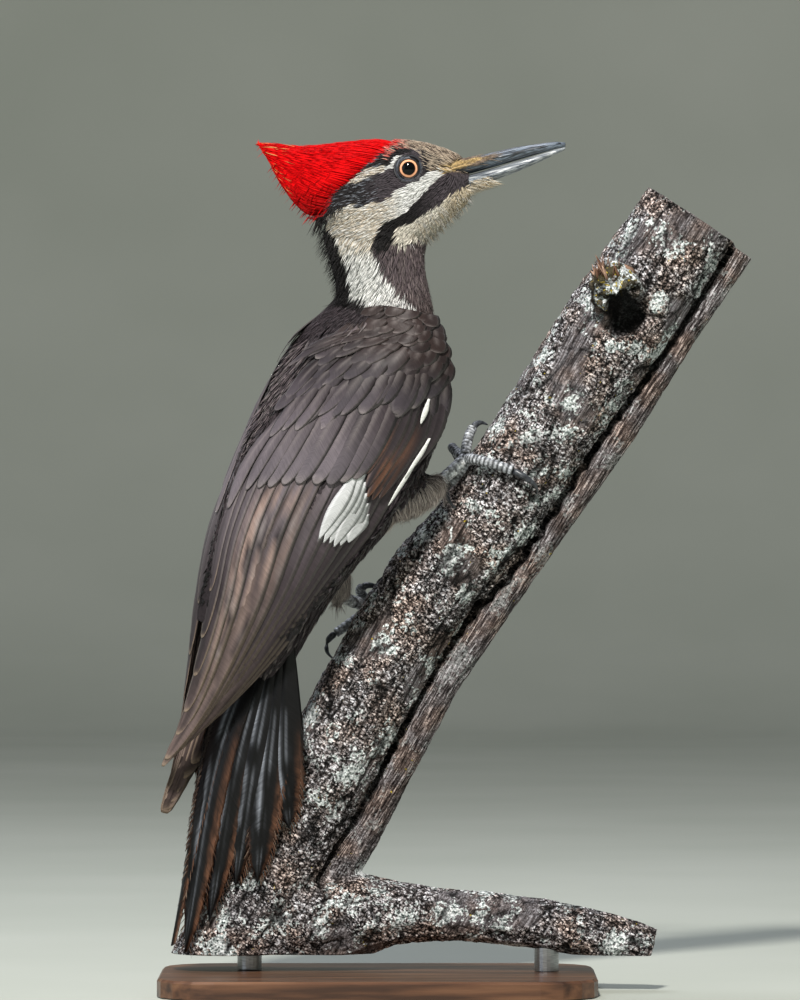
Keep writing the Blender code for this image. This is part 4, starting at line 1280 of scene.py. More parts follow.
def quill_tone(t, s, u, v, who):
    tone = wing_ground(t, s) * (0.75 + 0.5 * who[..., None])
    middle = s - 0.03 * u
    worn = step(0.43, 0.50, t) * step(0.95, 0.66, t) * step(0.24, 0.34, middle) * step(0.60, 0.48, middle)
    tone = blend(tone, WORN, np.clip(worn * step(-0.55, 0.35, streaks(t, s)), 0, 1) * 0.95)
    tone = blend(tone, FRINGE, worn * step(0.3, 0.8, streaks(t, s, 140.0, 12)) * 0.5)
    tone = blend(tone, SLATE_DEEP, worn * step(0.30, 0.60, streaks(t, s, 170.0, 19)) * 0.75)
    tone = blend(tone, SLATE_DEEP, shaft_line(u, 0.09) * 0.45)
    edge = step(0.84, 0.97, u) * step(0.05, 0.3, v)
    far_out = step(0.62, 0.80, t)
    tone = blend(tone, SLATE_DEEP, far_out * step(0.1, -0.5, streaks(t, s, 60.0, 17)) * 0.5)
    tone = blend(tone, FRINGE, edge * 0.5)
    tone = blend(tone, TAN, edge * 0.6 * far_out)
    rim = np.maximum(step(0.975, 1.0, v), step(0.80, 0.96, np.abs(u)) * step(0.80, 0.95, v))
    tone = blend(tone, TAN, rim * 0.7)
    shaken = np.stack([(t + 0.012 * streaks(t, s, 160.0, 13)).ravel(), s.ravel()], axis=1)
    white = inside(shaken, PATCH_CORNERS).reshape(t.shape)
    return np.where(white[..., None], PATCH_WHITE, tone)


print("white patch: from", PATCH_CORNERS[0], "to", PATCH_CORNERS[2], "on the wing's map")

# %% [markdown]
# ## Quills and the two lower rows of coverts
# Fourteen quills fan out from the wrist and make the wing's length. The greater coverts lie over their
# bases like tiles, and the median coverts over the greater ones. Their tips are placed one by one,
# since the two lines of tips are what the eye reads first on a folded wing.

# %% Quills, greater and median coverts
QUILL_TIPS = [0.66, 0.74, 0.81, 0.88, 0.93, 0.965, 0.985, 1.0, 1.0, 0.995, 0.985, 0.97, 0.95, 0.93]
GREATER_TIPS = [
    (0.52, 0.10), (0.485, 0.20), (0.478, 0.28), (0.473, 0.34), (0.462, 0.40), (0.453, 0.46), (0.445, 0.53),
    (0.440, 0.59), (0.432, 0.64), (0.425, 0.69),
]
MEDIAN_TIPS = [
    (0.385, 0.14), (0.37, 0.22), (0.36, 0.29), (0.355, 0.345), (0.348, 0.40), (0.325, 0.45), (0.315, 0.50),
    (0.311, 0.55), (0.306, 0.60), (0.303, 0.64), (0.298, 0.69), (0.293, 0.74), (0.288, 0.78),
]
number = np.arange(len(QUILL_TIPS))
bases = 0.05 + 0.065 * number
wing_row(
    "quills", 0.33 + 0 * bases, bases, QUILL_TIPS, 0.06 + 0.9 * bases, 6.6, 30, 7, -0.75 - 0.02 * number,
    quill_tone, roundness=2.6, tilt=0.75, arch=0.35, sink=0.3, least=4.2, thick=0.6,
)
tip_t, tip_s = np.array(GREATER_TIPS).T
wing_row(
    "greater_coverts", tip_t - 0.20, tip_s - 0.01, tip_t, tip_s, 5.4, 16, 7, 0.0,
    covert_tone, roundness=2.2, tilt=0.5, arch=0.7,
)
tip_t, tip_s = np.array(MEDIAN_TIPS).T
wing_row(
    "median_coverts", tip_t - 0.12, tip_s, tip_t, tip_s, 4.8, 12, 5, 0.35,
    covert_tone, tilt=0.45, arch=0.6, roundness=2.0, loose=0.010,
)

# %% [markdown]
# ## Lesser coverts
# From the median coverts up to the shoulder the feathers get small and scale-like. Each row lies
# parallel to the one below and is set half a feather over, and tips and widths stray, as no two
# neighbours lie alike.

# %% Lesser coverts, scale over scale up to the shoulder
MEDIAN_LINE = [(0.0, 0.41), (0.14, 0.385), (0.345, 0.355), (0.5, 0.315), (0.78, 0.288), (1.0, 0.275)]
ROW_APART = 0.033
LESSER_ROWS = 11
lesser = []
for number in range(1, LESSER_ROWS + 1):
    across_mm = np.interp(0.32 - ROW_APART * number, WING_TENTHS, WING_WIDTH)
    many = max(4, int(across_mm / 6.6))
    for k in range(many):
        place = (k + 0.5 * (number % 2) + 0.2) / many + 0.008 * rng.standard_normal()
        row_t = np.interp(place, *zip(*MEDIAN_LINE)) - ROW_APART * number + 0.005 * rng.standard_normal()
        if row_t > 0.02 and 0.02 < place < 0.95:
            lesser.append((row_t, place))
tip_t, tip_s = np.array(lesser).T
wing_row(
    "lesser_coverts", tip_t - 0.085, tip_s + 0.04, tip_t, tip_s - 0.01, 5.3, 12, 7,
    0.45 - 1.9 * step(0.80, 0.97, tip_s), covert_tone, tilt=0.2, arch=0.3, roundness=2.0, sink=1.2,
    lift=0.2, loose=0.014,
)

# %% [markdown]
# ## White patch, rusty coverts and the small wing at the wrist
# Where the wing's leading edge shows below the coverts, the bases of the outer quills are white, the
# only white on the folded wing. Above it lie a few worn, rusty primary coverts, and the alula.


# %% Marks at the leading edge
def plain(tone, spread):
    def tone_at(t, s, u, v, who):
        return np.broadcast_to(tone, (*t.shape, 3)) * (1 - spread + 2 * spread * who[..., None])
    return tone_at


def rust_tone(t, s, u, v, who):
    tone = wing_ground(t, s) * (0.8 + 0.4 * who[..., None])
    rusty = step(0.70, 0.78, s) * step(0.90, 0.85, s) * step(-0.6, 0.3, streaks(t, s, 120.0, 14))
    tone = blend(tone, RUST, rusty * step(0.30, 0.40, t) * 0.9)
    tone = blend(tone, SLATE_DEEP, shaft_line(u, 0.12) * 0.5)
    return blend(tone, FRINGE, step(0.8, 1.0, np.abs(u)) * 0.3)


patch_s = np.linspace(0.678, 0.850, 6)
patch_start = 0.410 + 0.75 * np.clip(patch_s - 0.715, 0, 1)
patch_end = 0.537 + 0.16 * (patch_s - 0.678) + 0.014 * rng.random(6)
wing_row(
    "white_patch", patch_start, patch_s, patch_end, patch_s, 3.9, 14, 5, 0.15, plain(PATCH_WHITE, 0.02),
    tilt=0.02, arch=0.03, sink=0.6, roundness=1.3, thick=0.2,
)
rust_s = np.array([0.73, 0.765, 0.80, 0.835, 0.87, 0.905, 0.935])
rust_tips = [0.415, 0.445, 0.468, 0.478, 0.48, 0.45, 0.425]
wing_row(
    "primary_coverts", 0.235 + 0 * rust_s, rust_s + 0.01, rust_tips, rust_s, 3.6, 18, 5, -0.1,
    rust_tone, tilt=0.4, arch=0.5, roundness=1.9,
)
wing_row(
    "alula", [0.195, 0.19, 0.185], [0.87, 0.91, 0.94], [0.35, 0.335, 0.315], [0.90, 0.935, 0.96], 3.4, 12, 5,
    -0.9, covert_tone, tilt=0.3, arch=0.4, roundness=2.2,
)

# %% [markdown]
# ## White slits and scapulars
# The inner webs of the leading quills are white, and show as narrow slits between them. At the other
# end, the long scapulars drape from the back over the top of the wing and hide where it begins.

# %% Slits between the leading quills, and the long feathers over the shoulder
slit_s = np.array([0.86, 0.925, 0.93])
wing_row(
    "white_slits", [0.262, 0.345, 0.40], slit_s + 0.006, [0.312, 0.44, 0.50], slit_s, 1.1, 10, 5, 0.75,
    plain(WHITE, 0.03), tilt=0.1, arch=0.25, sink=0.5, roundness=1.6,
)
drape = np.arange(13)
drape_t = 0.012 * drape + 0.01 * rng.standard_normal(13)
drape_s = 0.62 - 0.045 * drape + 0.02 * rng.standard_normal(13)
wing_row(
    "scapulars", drape_t - 0.03, drape_s, drape_t + 0.125, drape_s - 0.26, 4.4, 18, 7, 0.45, covert_tone,
    tilt=0.3, arch=0.35, roundness=1.8, sink=1.3, lift=0.2, bow=0.03, loose=0.012,
)

# %% [markdown]
# ## The tail as a prop
# A woodpecker's tail feathers have shafts as stiff as springs, and the bird leans on their tips. Ten
# are built, each bowed from the rump, over the limb and down to its own tip on the bark, with the
# middle pair on top. Their tips are worn and frayed.

# %% Shafts of the tail feathers
TAIL_BENDS = [
    (-134, -9, -21), (-139, -6.5, -17.5), (-140, -5.5, -13), (-141, -5, -7.5), (-144, -5.5, -1.5),
    (-144.5, -6, 3.5), (-141, -11, 9.5), (-139, -16, 14.5), (-138, -21, 18.5), (-132, -25, 21.5),
]
TAIL_TIPS = [
    (-55.1, 20.5, 86.6), (-68.7, 18.6, 62.7), (-76.6, 13.6, 48.6), (-83.5, 8.9, 33.9), (-89.6, 4.8, 18.9),
    (-85.4, -0.4, 17.1), (-75.6, -1.5, 31.6), (-63.6, -3.2, 47.7), (-53.9, -6.1, 49.0), (-40.5, -6.6, 73.3),
]
TAIL_COUNT, TAIL_ROWS, TAIL_COLUMNS = 10, 64, 17
TAIL_HALF, TAIL_LENGTH = 8.6, 110  # half the width and the length of a feather
share = np.linspace(0, 1, TAIL_ROWS)
from_middle = np.arange(TAIL_COUNT) - 4.5
shafts = []
for place, bend, tip in zip(from_middle, TAIL_BENDS, TAIL_TIPS):
    root = body_point(-84, -5 - 0.9 * abs(place), 2.6 * place)
    shafts.append(line([root, body_point(*bend), np.array(tip) * MM], share))
shafts = np.array(shafts)
beside = np.gradient(shafts, axis=0)
ahead = unit(np.gradient(shafts, axis=1))
right_of = unit(beside - ahead * dot(beside, ahead)[..., None])
tail_up = unit(np.cross(ahead, right_of))
tail_up *= np.sign(dot(tail_up, DORSAL).mean())
shaft_mm = np.linalg.norm(np.diff(shafts, axis=1), axis=2).sum(axis=1) / MM
print("tail shafts are", shaft_mm.min().round(), "to", shaft_mm.max().round(), "mm long")

# %% Vanes of the tail feathers
half = TAIL_HALF * (np.minimum(1, 0.42 + 1.6 * share) * np.clip(1 - share**5, 0.02, 1) ** 0.75)
across = np.linspace(-1, 1, TAIL_COLUMNS)
down = share[None, :, None]
frayed = 1 + 0.09 * rng.standard_normal((TAIL_COUNT, TAIL_ROWS, TAIL_COLUMNS)) * step(0.45, 0.9, down)
arch = 2.0 * (1 - np.abs(across) ** 1.6)
rise = 1.0 + 0.35 * (4.5 - np.abs(from_middle))[:, None, None] * (1 - 0.5 * down) + arch
grid = shafts[:, :, None] + right_of[:, :, None] * (half[:, None] * across * frayed * MM)[..., None]
grid = grid + tail_up[:, :, None] * (rise * MM)[..., None]
notch = rng.random((TAIL_COUNT, 1, TAIL_COLUMNS)) * step(0.85, 1.0, down) * 3.0 * MM
grid = grid - ahead[:, :, None] * (notch * np.abs(across))[..., None]
u = half[:, None] * across + 0 * rise
v = down * TAIL_LENGTH + 0 * rise
who = np.broadcast_to(rng.random(TAIL_COUNT)[:, None, None], u.shape)
print("tail:", TAIL_COUNT, "feathers on", TAIL_ROWS, "by", TAIL_COLUMNS, "points")


# %% Tail colours: worn brown edges, a painted gloss in streaks and a dark shaft
def tail_field(x, y, cell_mm, seed):
    """A random field over the tail, in each feather's own millimetres."""
    return field(np.stack([x, y, 20 * who], axis=-1).reshape(-1, 3), cell_mm, seed).reshape(u.shape)


worn_edge = step(0.45, 0.95, across) * step(0.30, 0.75, down)
worn_edge = worn_edge + step(-0.75, -0.98, across) * step(0.6, 0.9, down) * 0.6
worn_edge = worn_edge * (1 + 0.9 * tail_field(u, v + 0.9 * u, (1500.0, 2600.0, 1000.0), 18))
tone = blend(np.broadcast_to(TAIL_BLACK, (*u.shape, 3)), TAIL_BROWN, np.clip(worn_edge, 0, 1) * 0.85)
# painted highlights: pale streaks of gloss in the colour, along each vane
gloss = step(-0.5, 0.7, tail_field(u * 6, v, 9000.0, 22))
gloss = gloss * step(0.12, 0.45, v / TAIL_LENGTH) * step(1.0, 0.8, v / TAIL_LENGTH)
for middle, width, strength in ((-0.28, 0.09, 0.95), (0.12, 0.05, 0.5), (-0.20, 0.40, 0.12)):
    tone = blend(tone, TAIL_GLOSS, shaft_line(across - middle, width) * strength * gloss)
tone = blend(tone, TAIL_BLACK * 0.4, shaft_line(across, 0.10) * 0.9 + 0 * u)
uv_across = 0.02 + 0.004 * np.arange(TAIL_COUNT)[:, None, None] + 0.0015 * across + 0 * u
tail = vanes(
    "tail_feathers", grid, np.repeat(tail_up[:, :, None], TAIL_COLUMNS, axis=2),
    np.broadcast_to(0.8 - 0.4 * share, (TAIL_COUNT, TAIL_ROWS)), tone,
    np.stack([u, v - 0.9 * np.abs(u), who], axis=-1),
    np.stack([uv_across, 0.02 + 0.02 * down + 0 * u], axis=-1), "tail_feather_polished",
)
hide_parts("tail")

# %% [markdown]
# ## Frayed barbs
# Where a vane rubs on bark its barbs come unhooked and stand out singly. Each is one thin strand that
# starts a little inside the vane's edge and runs forward and out, brown like the worn edge itself.

# %% Frayed barbs along the tail's edges
FRAY_ALONG = 110  # barbs along each edge
fray_edge = np.repeat(np.arange(2 * TAIL_COUNT), FRAY_ALONG)
fray_feather, on_outer = fray_edge // 2, fray_edge % 2 == 1
fray_share = np.tile(np.linspace(0.36, 0.985, FRAY_ALONG), 2 * TAIL_COUNT)
count = len(fray_share)
fray_row = fray_share * (TAIL_ROWS - 1) + 0.4 * rng.standard_normal(count)
fray_row = np.clip(np.round(fray_row), 0, TAIL_ROWS - 1).astype(int)
starts = grid[fray_feather, fray_row, np.where(on_outer, TAIL_COLUMNS - 2, 1)]
outwards = right_of[fray_feather, fray_row] * np.where(on_outer, 1.0, -1.0)[:, None]
ways = ahead[fray_feather, fray_row] + outwards * (0.42 + 0.12 * rng.standard_normal((count, 1)))
fray_tone = blend(TAIL_BLACK, TAIL_BROWN, np.where(on_outer, 0.95, 0.35) * step(0.35, 0.7, fray_share))
fray_tone = blend(fray_tone, TAN, (rng.random(count) > 0.75) * step(0.5, 0.8, fray_share) * 0.6)
strands(
    "tail_fray", starts, ways, 3.4 + 2.6 * rng.random(count), 0.30, fray_tone, "contour_feather_keratin",
)

# %% [markdown]
# ## Bill
# The bill is bone under a thin sheath of horn, chisel-tipped and faintly ridged lengthwise. The solids
# have its two halves with the gape between them. Copies are remeshed and eased, which rounds them
# without changing their place.

# %% Horn, and both halves of the bill
BILL_SLOPE = math.radians(14.0)
BILL_AHEAD = np.array([math.cos(BILL_SLOPE), 0.0, math.sin(BILL_SLOPE)])
BILL_UP = np.array([-math.sin(BILL_SLOPE), 0.0, math.cos(BILL_SLOPE)])
HORNS = {  # finish, its tones, and which way the gap lies
    "bill_upper": ("dark_slate_bill_horn", ("#17191D", "#3C434C", "#6C7885"), -1),
    "bill_lower": ("pale_grey_bill_horn", ("#3E444C", "#747B82", "#A6AAAB"), 1),
}
for node, (finish, tones, gap_way) in HORNS.items():
    horn = copy_nodes(f"{node}_horn", [node])
    remesh(horn, 0.42, smooth_rounds=3)
    places, out = vertex_values(horn.data), vertex_values(horn.data, "normal")
    to_gap = step(0.35, 0.85, dot(out, BILL_UP * gap_way))  # the two faces of the gape nearly meet
    height = dot(places, BILL_UP) / MM
    forward = dot(places, BILL_AHEAD) / MM
    ridge = 0.07 * np.sin(height * 4.2 + 0.05 * forward) * step(0.2, 0.7, np.abs(out[:, 1]))
    places += BILL_UP * (gap_way * 0.24 * MM * to_gap)[:, None] + out * (ridge * MM)[:, None]
    move_points(horn.data, places)
    horn.data.materials.append(grained(  # a satin sheath, drawn out lengthwise, with a thin clear gloss
        finish, list(zip((0.36, 0.5, 0.64), tones)),
        (16.0, 0.55, 0.55), (0.0, -BILL_SLOPE, 0.0), 3.0, 0.35, 0.3,
        Roughness=0.3, Specular_IOR_Level=0.5, Coat_Weight=0.2,
    ))
    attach(horn, "root")
    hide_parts(node)
    print(horn.name, len(horn.data.polygons), "faces")

# %% [markdown]
# ## Feathers over the bill's root
# Plumes the colour of straw lie forward over the nostrils and keep wood dust out. Under the lower
# mandible stiff pale bristles point forward too, while the dark moustache feathers lie back. They are
# rooted on the bill itself, wherever a marking reaches over it.

# %% Nasal plumes, moustache root and chin bristles
ON_BILL = {
    #         length half  spacing way forward                     stray hug
    "nasal": (7.5, 0.18, 0.42, BILL_AHEAD + BILL_UP * 0.02, 0.25, 0.85),
    "malar": (5.0, 0.24, 0.52, -BILL_AHEAD - BILL_UP * 0.25, 0.15, 0.85),
    "throat": (5.6, 0.13, 0.50, BILL_AHEAD * 0.95 - BILL_UP * 0.50, 0.50, 0.35),
}
bill_middle = bill["points"][bill["faces"]].mean(axis=1)
rows = 5
share = np.linspace(0, 1, rows)
for name, (length, half, spacing, way, stray, hug) in ON_BILL.items():
    wanted = inside(bill_middle[:, [0, 2]] / MM, OUTLINES[name])
    face, shares, places = scatter(bill, np.full(len(bill_middle), spacing), wanted)
    out = unit(mixed(bill["normals"], bill["faces"][face], shares))
    _, _, coat_face, _, coat_shares = land(coat, places)
    uv = mixed(skin_uv, coat["loops"][coat_face], coat_shares)
    count = len(places)
    turn = np.radians(14.0) * rng.standard_normal(count)
    lengths = length * (0.55 + 0.75 * rng.random(count))

    def ahead_of(places, ups):
        straight = unit(way - ups * dot(way, ups)[:, None] * hug)
        return unit(straight + np.cross(ups, straight) * turn[:, None])

    leave_mm = 1.2 if hug > 0.5 else 0.2
    paths, ups = comb(places, out, rows, ahead_of, lengths, bill, leave_mm)
    lift = 0.15 + 0.35 * share + stray * (0.3 + rng.random(count)[:, None]) * share**2
    paths = paths + ups * (lift * MM)[..., None]
    tone = plumage(paths[:, 2], 0.2)
    if name == "throat":
        tone = blend(BUFF, WHITE, rng.random(count) * 0.8)
    if name == "nasal":
        tone = blend(tone, NASAL_DARK, (rng.random(count) > 0.8) * 0.6)
    tone = tone * (1 + 0.18 * rng.standard_normal(count))[:, None]
    # painted shade: each feather darker towards its root, where little light reaches
    dark = 0.75 + 0.25 * step(0.0, 0.4, share)
    tufts(
        f"bill_root_{name}", paths, ups, np.full(count, half), np.full(count, 0.10), (0.8, 1.0, 0.8, 0.5),
        np.clip(tone[:, None] * dark[None, :, None], 0, 1), uv, "contour_feather_keratin",
    )

# %% [markdown]
# ## Eyes
# The eye is a wet ball set in a ring of bare, folded lid skin. The iris is a pale orange ring round a
# large pupil. A ball gives the real depth, and the glint comes from the key light on its gloss.


# %% A finish in rings, and two eyeballs
def ringed(name, reach, fine, detail, shake, rings, **sockets):
    """Rings round the eye's axis, as mm and tones out to reach, their edges shaken by a fine noise."""
    made, tree, shader = start(name, **sockets)
    place = add(tree, "ShaderNodeTexCoord")
    centred = add(tree, "ShaderNodeMapping", {
        "Vector": place.outputs["Object"], "Location": (-EYE[0] * MM, 0, -EYE[1] * MM),
        "Scale": (1.0, 0.0, 1.0),
    })
    away = add(tree, "ShaderNodeVectorMath", {0: centred.outputs["Vector"]}, operation="LENGTH")
    share = add(tree, "ShaderNodeMath", {0: away.outputs["Value"], 1: 1000.0 / reach}, operation="MULTIPLY")
    noise = add(
        tree, "ShaderNodeTexNoise", {"Vector": place.outputs["Object"], "Scale": fine, "Detail": detail}
    )
    shaken = add(
        tree, "ShaderNodeMath", {0: noise.outputs["Fac"], 1: shake, 2: -shake / 2}, operation="MULTIPLY_ADD"
    )
    ring = add(
        tree, "ShaderNodeMath", {0: share.outputs["Value"], 1: shaken.outputs["Value"]}, operation="ADD"
    )
    stops = [(mm / reach, tone) for mm, tone in rings]
    tone = add(tree, "ShaderNodeValToRGB", {"Fac": ring.outputs["Value"]}, stops)
    tree.links.new(tone.outputs["Color"], shader.inputs["Base Color"])
    return made, tree, shader, noise


EYE_RADIUS, EYE_SPACING = 6.0, 10.6
IRIS_OUTER, PUPIL = 3.97, 2.95
wet_eye, _, _, _ = ringed(  # wet, so nearly a mirror, and only the key light shows in it
    "wet_eye", 5.0, 900.0, 2.0, 0.06, [
        (0.0, "#050405"), (PUPIL - 0.05, "#060505"), (PUPIL + 0.15, "#C98A66"), (3.5, "#F1B68E"),
        (IRIS_OUTER - 0.15, "#DF9D78"), (IRIS_OUTER + 0.05, "#20130F"), (5.0, "#0A0808"),
    ], Roughness=0.05, Specular_IOR_Level=0.32, IOR=1.38,
)
for side, label in ((-1, "right"), (1, "left")):
    bpy.ops.object.select_all(action="DESELECT")
    bpy.ops.mesh.primitive_uv_sphere_add(
        segments=48, ring_count=32, radius=EYE_RADIUS * MM,
        location=(EYE[0] * MM, (HEAD_Y + side * EYE_SPACING) * MM, EYE[1] * MM), rotation=(math.pi / 2, 0, 0),
    )
    ball = bpy.context.object
    ball.name = f"eyeball_{label}"
    bpy.ops.object.transform_apply(location=True, rotation=True, scale=True)
    bpy.ops.object.shade_smooth()
    ball.data.materials.append(wet_eye)
    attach(ball, "root")
    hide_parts(f"eye_{label}")
print("eyes: iris to", IRIS_OUTER, "mm, pupil to", PUPIL, "mm from the middle")

# %% [markdown]
# ## Lids
# Round the eye lies a ring of wrinkled blue-grey skin. It starts as a circle on the ball, extruded
# outwards ring by ring, and each ring is then laid at its own height between the ball and the cheek:
# a lip, a groove, a fold, and under the first feathers.

# %% Lid skin, and how far out the cheek lies
LID_RINGS = [  # distance from the eye's middle, and height
    (4.1, 0.05), (4.35, 0.50), (4.75, 0.62), (5.05, 0.32), (5.4, 0.55), (5.75, 0.25), (6.15, 0.36),
    (7.0, -0.7),
]
# the blue-grey is the lid's own; its pale rings on the ridges are painted highlight and the near black
# between is painted shade in the folds
lid_skin, tree, shader, wrinkle = ringed(  # dull and folded, pale on the ridges and black between
    "wrinkled_lid_skin", 8.0, 1400.0, 3.0, 0.07, [
        (0.0, "#0B0A0B"), (4.75, "#0D0C0E"), (5.0, "#30353D"), (5.25, "#17181C"), (5.5, "#4A525E"),
        (5.75, "#151619"), (6.0, "#24272D"), (6.3, "#161517"),
    ], Roughness=0.5, Specular_IOR_Level=0.4,
)
rise = add(tree, "ShaderNodeBump", {"Height": wrinkle.outputs["Fac"], "Strength": 0.6, "Distance": 0.0003})
tree.links.new(rise.outputs["Normal"], shader.inputs["Normal"])
CHEEK_FROM = 7.2  # the cheek is felt for no nearer to the eye's middle than this


def cheek_height(x, z, side):
    """How far the coat stands out past the eyeball's middle, felt for by a ray from the side."""
    aim = Vector((x, (HEAD_Y + side * 40.0) * MM, z))
    around = Vector((x - EYE[0] * MM, 0, z - EYE[1] * MM))
    aim = aim + around.normalized() * max(0.0, CHEEK_FROM * MM - around.length)
    hit = coat["tree"].ray_cast(aim, Vector((0, -side, 0)))
    return abs(hit[0].y / MM - HEAD_Y) - EYE_SPACING if hit[0] is not None else 4.0


at_lid = cheek_height((EYE[0] - CHEEK_FROM) * MM, EYE[1] * MM, -1)
print("behind the eye the cheek stands out", round(at_lid, 1), "mm from the ball's middle")


# %% Lid rings
for side, label in ((-1, "right"), (1, "left")):
    middle = Vector((EYE[0] * MM, (HEAD_Y + side * EYE_SPACING) * MM, EYE[1] * MM))
    bpy.ops.object.select_all(action="DESELECT")
    bpy.ops.mesh.primitive_circle_add(
        vertices=64, radius=LID_RINGS[0][0] * MM, location=middle, rotation=(side * -math.pi / 2, 0, 0)
    )
    lid = bpy.context.object
    lid.name = f"eyelid_{label}"
    bpy.ops.object.transform_apply(location=True, rotation=True, scale=True)
    bpy.ops.object.mode_set(mode="EDIT")
    for (inner, _), (outer, _) in zip(LID_RINGS, LID_RINGS[1:]):
        bpy.ops.mesh.extrude_region_move()
        bpy.ops.transform.resize(value=(outer / inner, 1, outer / inner), center_override=middle)
    bpy.ops.mesh.select_all(action="SELECT")
    bpy.ops.mesh.normals_make_consistent(inside=False)
    bpy.ops.object.mode_set(mode="OBJECT")
    places = vertex_values(lid.data)
    away = places - np.array(middle)
    radius = np.hypot(away[:, 0], away[:, 2]) / MM
    ball_out = np.sqrt(np.maximum(EYE_RADIUS**2 - radius**2, 0.0))
    cheek = np.array([cheek_height(x, z, side) for x, _, z in places.tolist()])
    share = step(4.2, 6.4, radius)
    height = np.interp(radius, *zip(*LID_RINGS))
    angle = np.arctan2(away[:, 2], away[:, 0])
    height = height + 0.10 * np.sin(angle * 13 + 3 * np.sin(angle * 3)) * step(4.6, 5.4, radius)
    lifted = ball_out * (1 - share) + cheek * share + height
    places[:, 1] = (HEAD_Y + side * (EYE_SPACING + lifted)) * MM
    move_points(lid.data, places)
    thicker = lid.modifiers.new("skin", "SOLIDIFY")
    thicker.thickness = 0.0004
    thicker.offset = -1
    choose(lid)
    bpy.ops.object.modifier_apply(modifier=thicker.name)
    bpy.ops.object.shade_smooth()
    lid.data.materials.append(lid_skin)
    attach(lid, "root")
    print(lid.name, len(lid.data.polygons), "faces")

# %% [markdown]
# ## Feet
# A climbing foot is four long toes in horny plates, two held up and out and two back and down. Each
# toe is a tube whose upper side steps at every plate. The tubes of one foot are remeshed into one
# skin, so that they join as flesh does. The claws are the solids', rounded.


# %% Toes as lines, and how each is plated
TOES = {
    "right": {
        "outer": [(40.3, -8.6, 238.7), (44.4, -13.8, 238.2), (51.4, -17.5, 236.4), (60.4, -19.3, 233.4)],
        "upper": [(39.4, -6.2, 240.1), (40.0, -1.5, 244.8), (41.2, 2.4, 249.6), (42.8, 4.7, 252.8)],
        "inner": [(38.2, -5.3, 239.3), (36.2, -1.6, 241.1), (34.3, 1.9, 242.9), (33.5, 5.0, 244.1)],
        "hind": [(39.2, -7.0, 237.4), (37.4, -7.0, 233.7), (34.9, -6.5, 230.5), (32.9, -6.4, 227.7)],
        "shank": [(25.5, -17.5, 226.8), (33.0, -11.8, 233.0), (39.4, -6.8, 238.9)],
    },
    "left": {
        "outer": [(-1.2, 33.2, 171.9), (5.9, 37.3, 170.3), (14.1, 38.0, 167.4), (20.7, 36.2, 164.5)],
        "upper": [(-3.6, 31.5, 173.5), (-6.6, 29.7, 176.4), (-8.0, 27.5, 179.2), (-6.9, 26.2, 181.0)],
        "inner": [(-1.5, 32.0, 173.0), (1.7, 32.7, 176.5), (5.7, 33.4, 179.9), (9.8, 32.9, 183.3)],
        "hind": [(-3.3, 32.0, 171.0), (-8.4, 30.8, 167.3), (-14.8, 28.7, 162.8), (-19.1, 27.5, 159.9)],
        "shank": [(-18.2, 17.6, 179.0), (-12.5, 22.0, 174.8), (-2.5, 32.4, 171.9)],
    },
}
TOE_RADII = [2.5, 2.5, 2.3, 2.2]
SHANK_RADII = [2.6, 2.9, 3.1]
PLATED = {
    #        plates depth  crease tone       radii
    "outer": (13, 0.40, 1.0, "#A3A7AC", TOE_RADII),
    "upper": (9, 0.40, 0.8, "#A3A7AC", TOE_RADII),
    "inner": (8, 0.40, 0.6, "#A3A7AC", TOE_RADII),
    "hind": (8, 0.40, 0.6, "#A3A7AC", TOE_RADII),
    # partly the shank's own paler horn, partly painted light: it stood in fuller light than the toes
    "shank": (7, 0.16, 0.4, "#DCDFE2", SHANK_RADII),
}
TOE_UP = np.array([-0.35, -0.8, 0.45])  # the plated side looks this way
TOE_SIDES, TOE_ROWS = 24, 170
print("toes: plates on the outer one", PLATED["outer"][0])


# %% A plated tube, and its tones
def plated_tube(name, stops, toe):
    """Each plate is a low roll with a crease at its end, on the upper side only."""
    plates, deep, _, _, radii = PLATED[toe]
    share = np.linspace(0, 1, TOE_ROWS)
    path = line(np.array(stops) * MM, share)
    ahead = unit(np.gradient(path, axis=0))
    up = unit(TOE_UP - ahead * dot(TOE_UP, ahead)[:, None])
    right = np.cross(ahead, up)
    angle = np.linspace(0, 2 * math.pi, TOE_SIDES, endpoint=False)
    thick = np.interp(share, np.linspace(0, 1, len(radii)), radii)
    plate = deep * (np.sin(math.pi * ((share * plates) % 1.0)) ** 0.7 - 0.6)
    above = step(-0.5, 0.3, np.cos(angle))
    reach = (thick[:, None] + plate[:, None] * above[None] - 0.06 * (1 - above[None])) * MM
    ring = (
        path[:, None]
        + up[:, None] * (np.cos(angle)[None] * reach)[..., None]
        + right[:, None] * (np.sin(angle)[None] * reach * 0.94)[..., None]
    )
    ends = [path[:1] - ahead[:1] * 0.6 * MM, path[-1:] + ahead[-1:] * 0.6 * MM]
    points = np.concatenate([ring.reshape(-1, 3), *ends])
    first, last = TOE_ROWS * TOE_SIDES, TOE_ROWS * TOE_SIDES + 1
    quads, caps = [], []
    for c in range(TOE_SIDES):
        beside = (c + 1) % TOE_SIDES
        for r in range(0, first - TOE_SIDES, TOE_SIDES):
            quads.append((r + c, r + beside, r + TOE_SIDES + beside, r + TOE_SIDES + c))
        caps += [(first, beside, c), (last, first - TOE_SIDES + c, first - TOE_SIDES + beside)]
    mesh = bpy.data.meshes.new(name)
    mesh.from_pydata(points.tolist(), [], quads + caps)
    tube = bpy.data.objects.new(name, mesh)
    bpy.context.collection.objects.link(tube)
    return tube


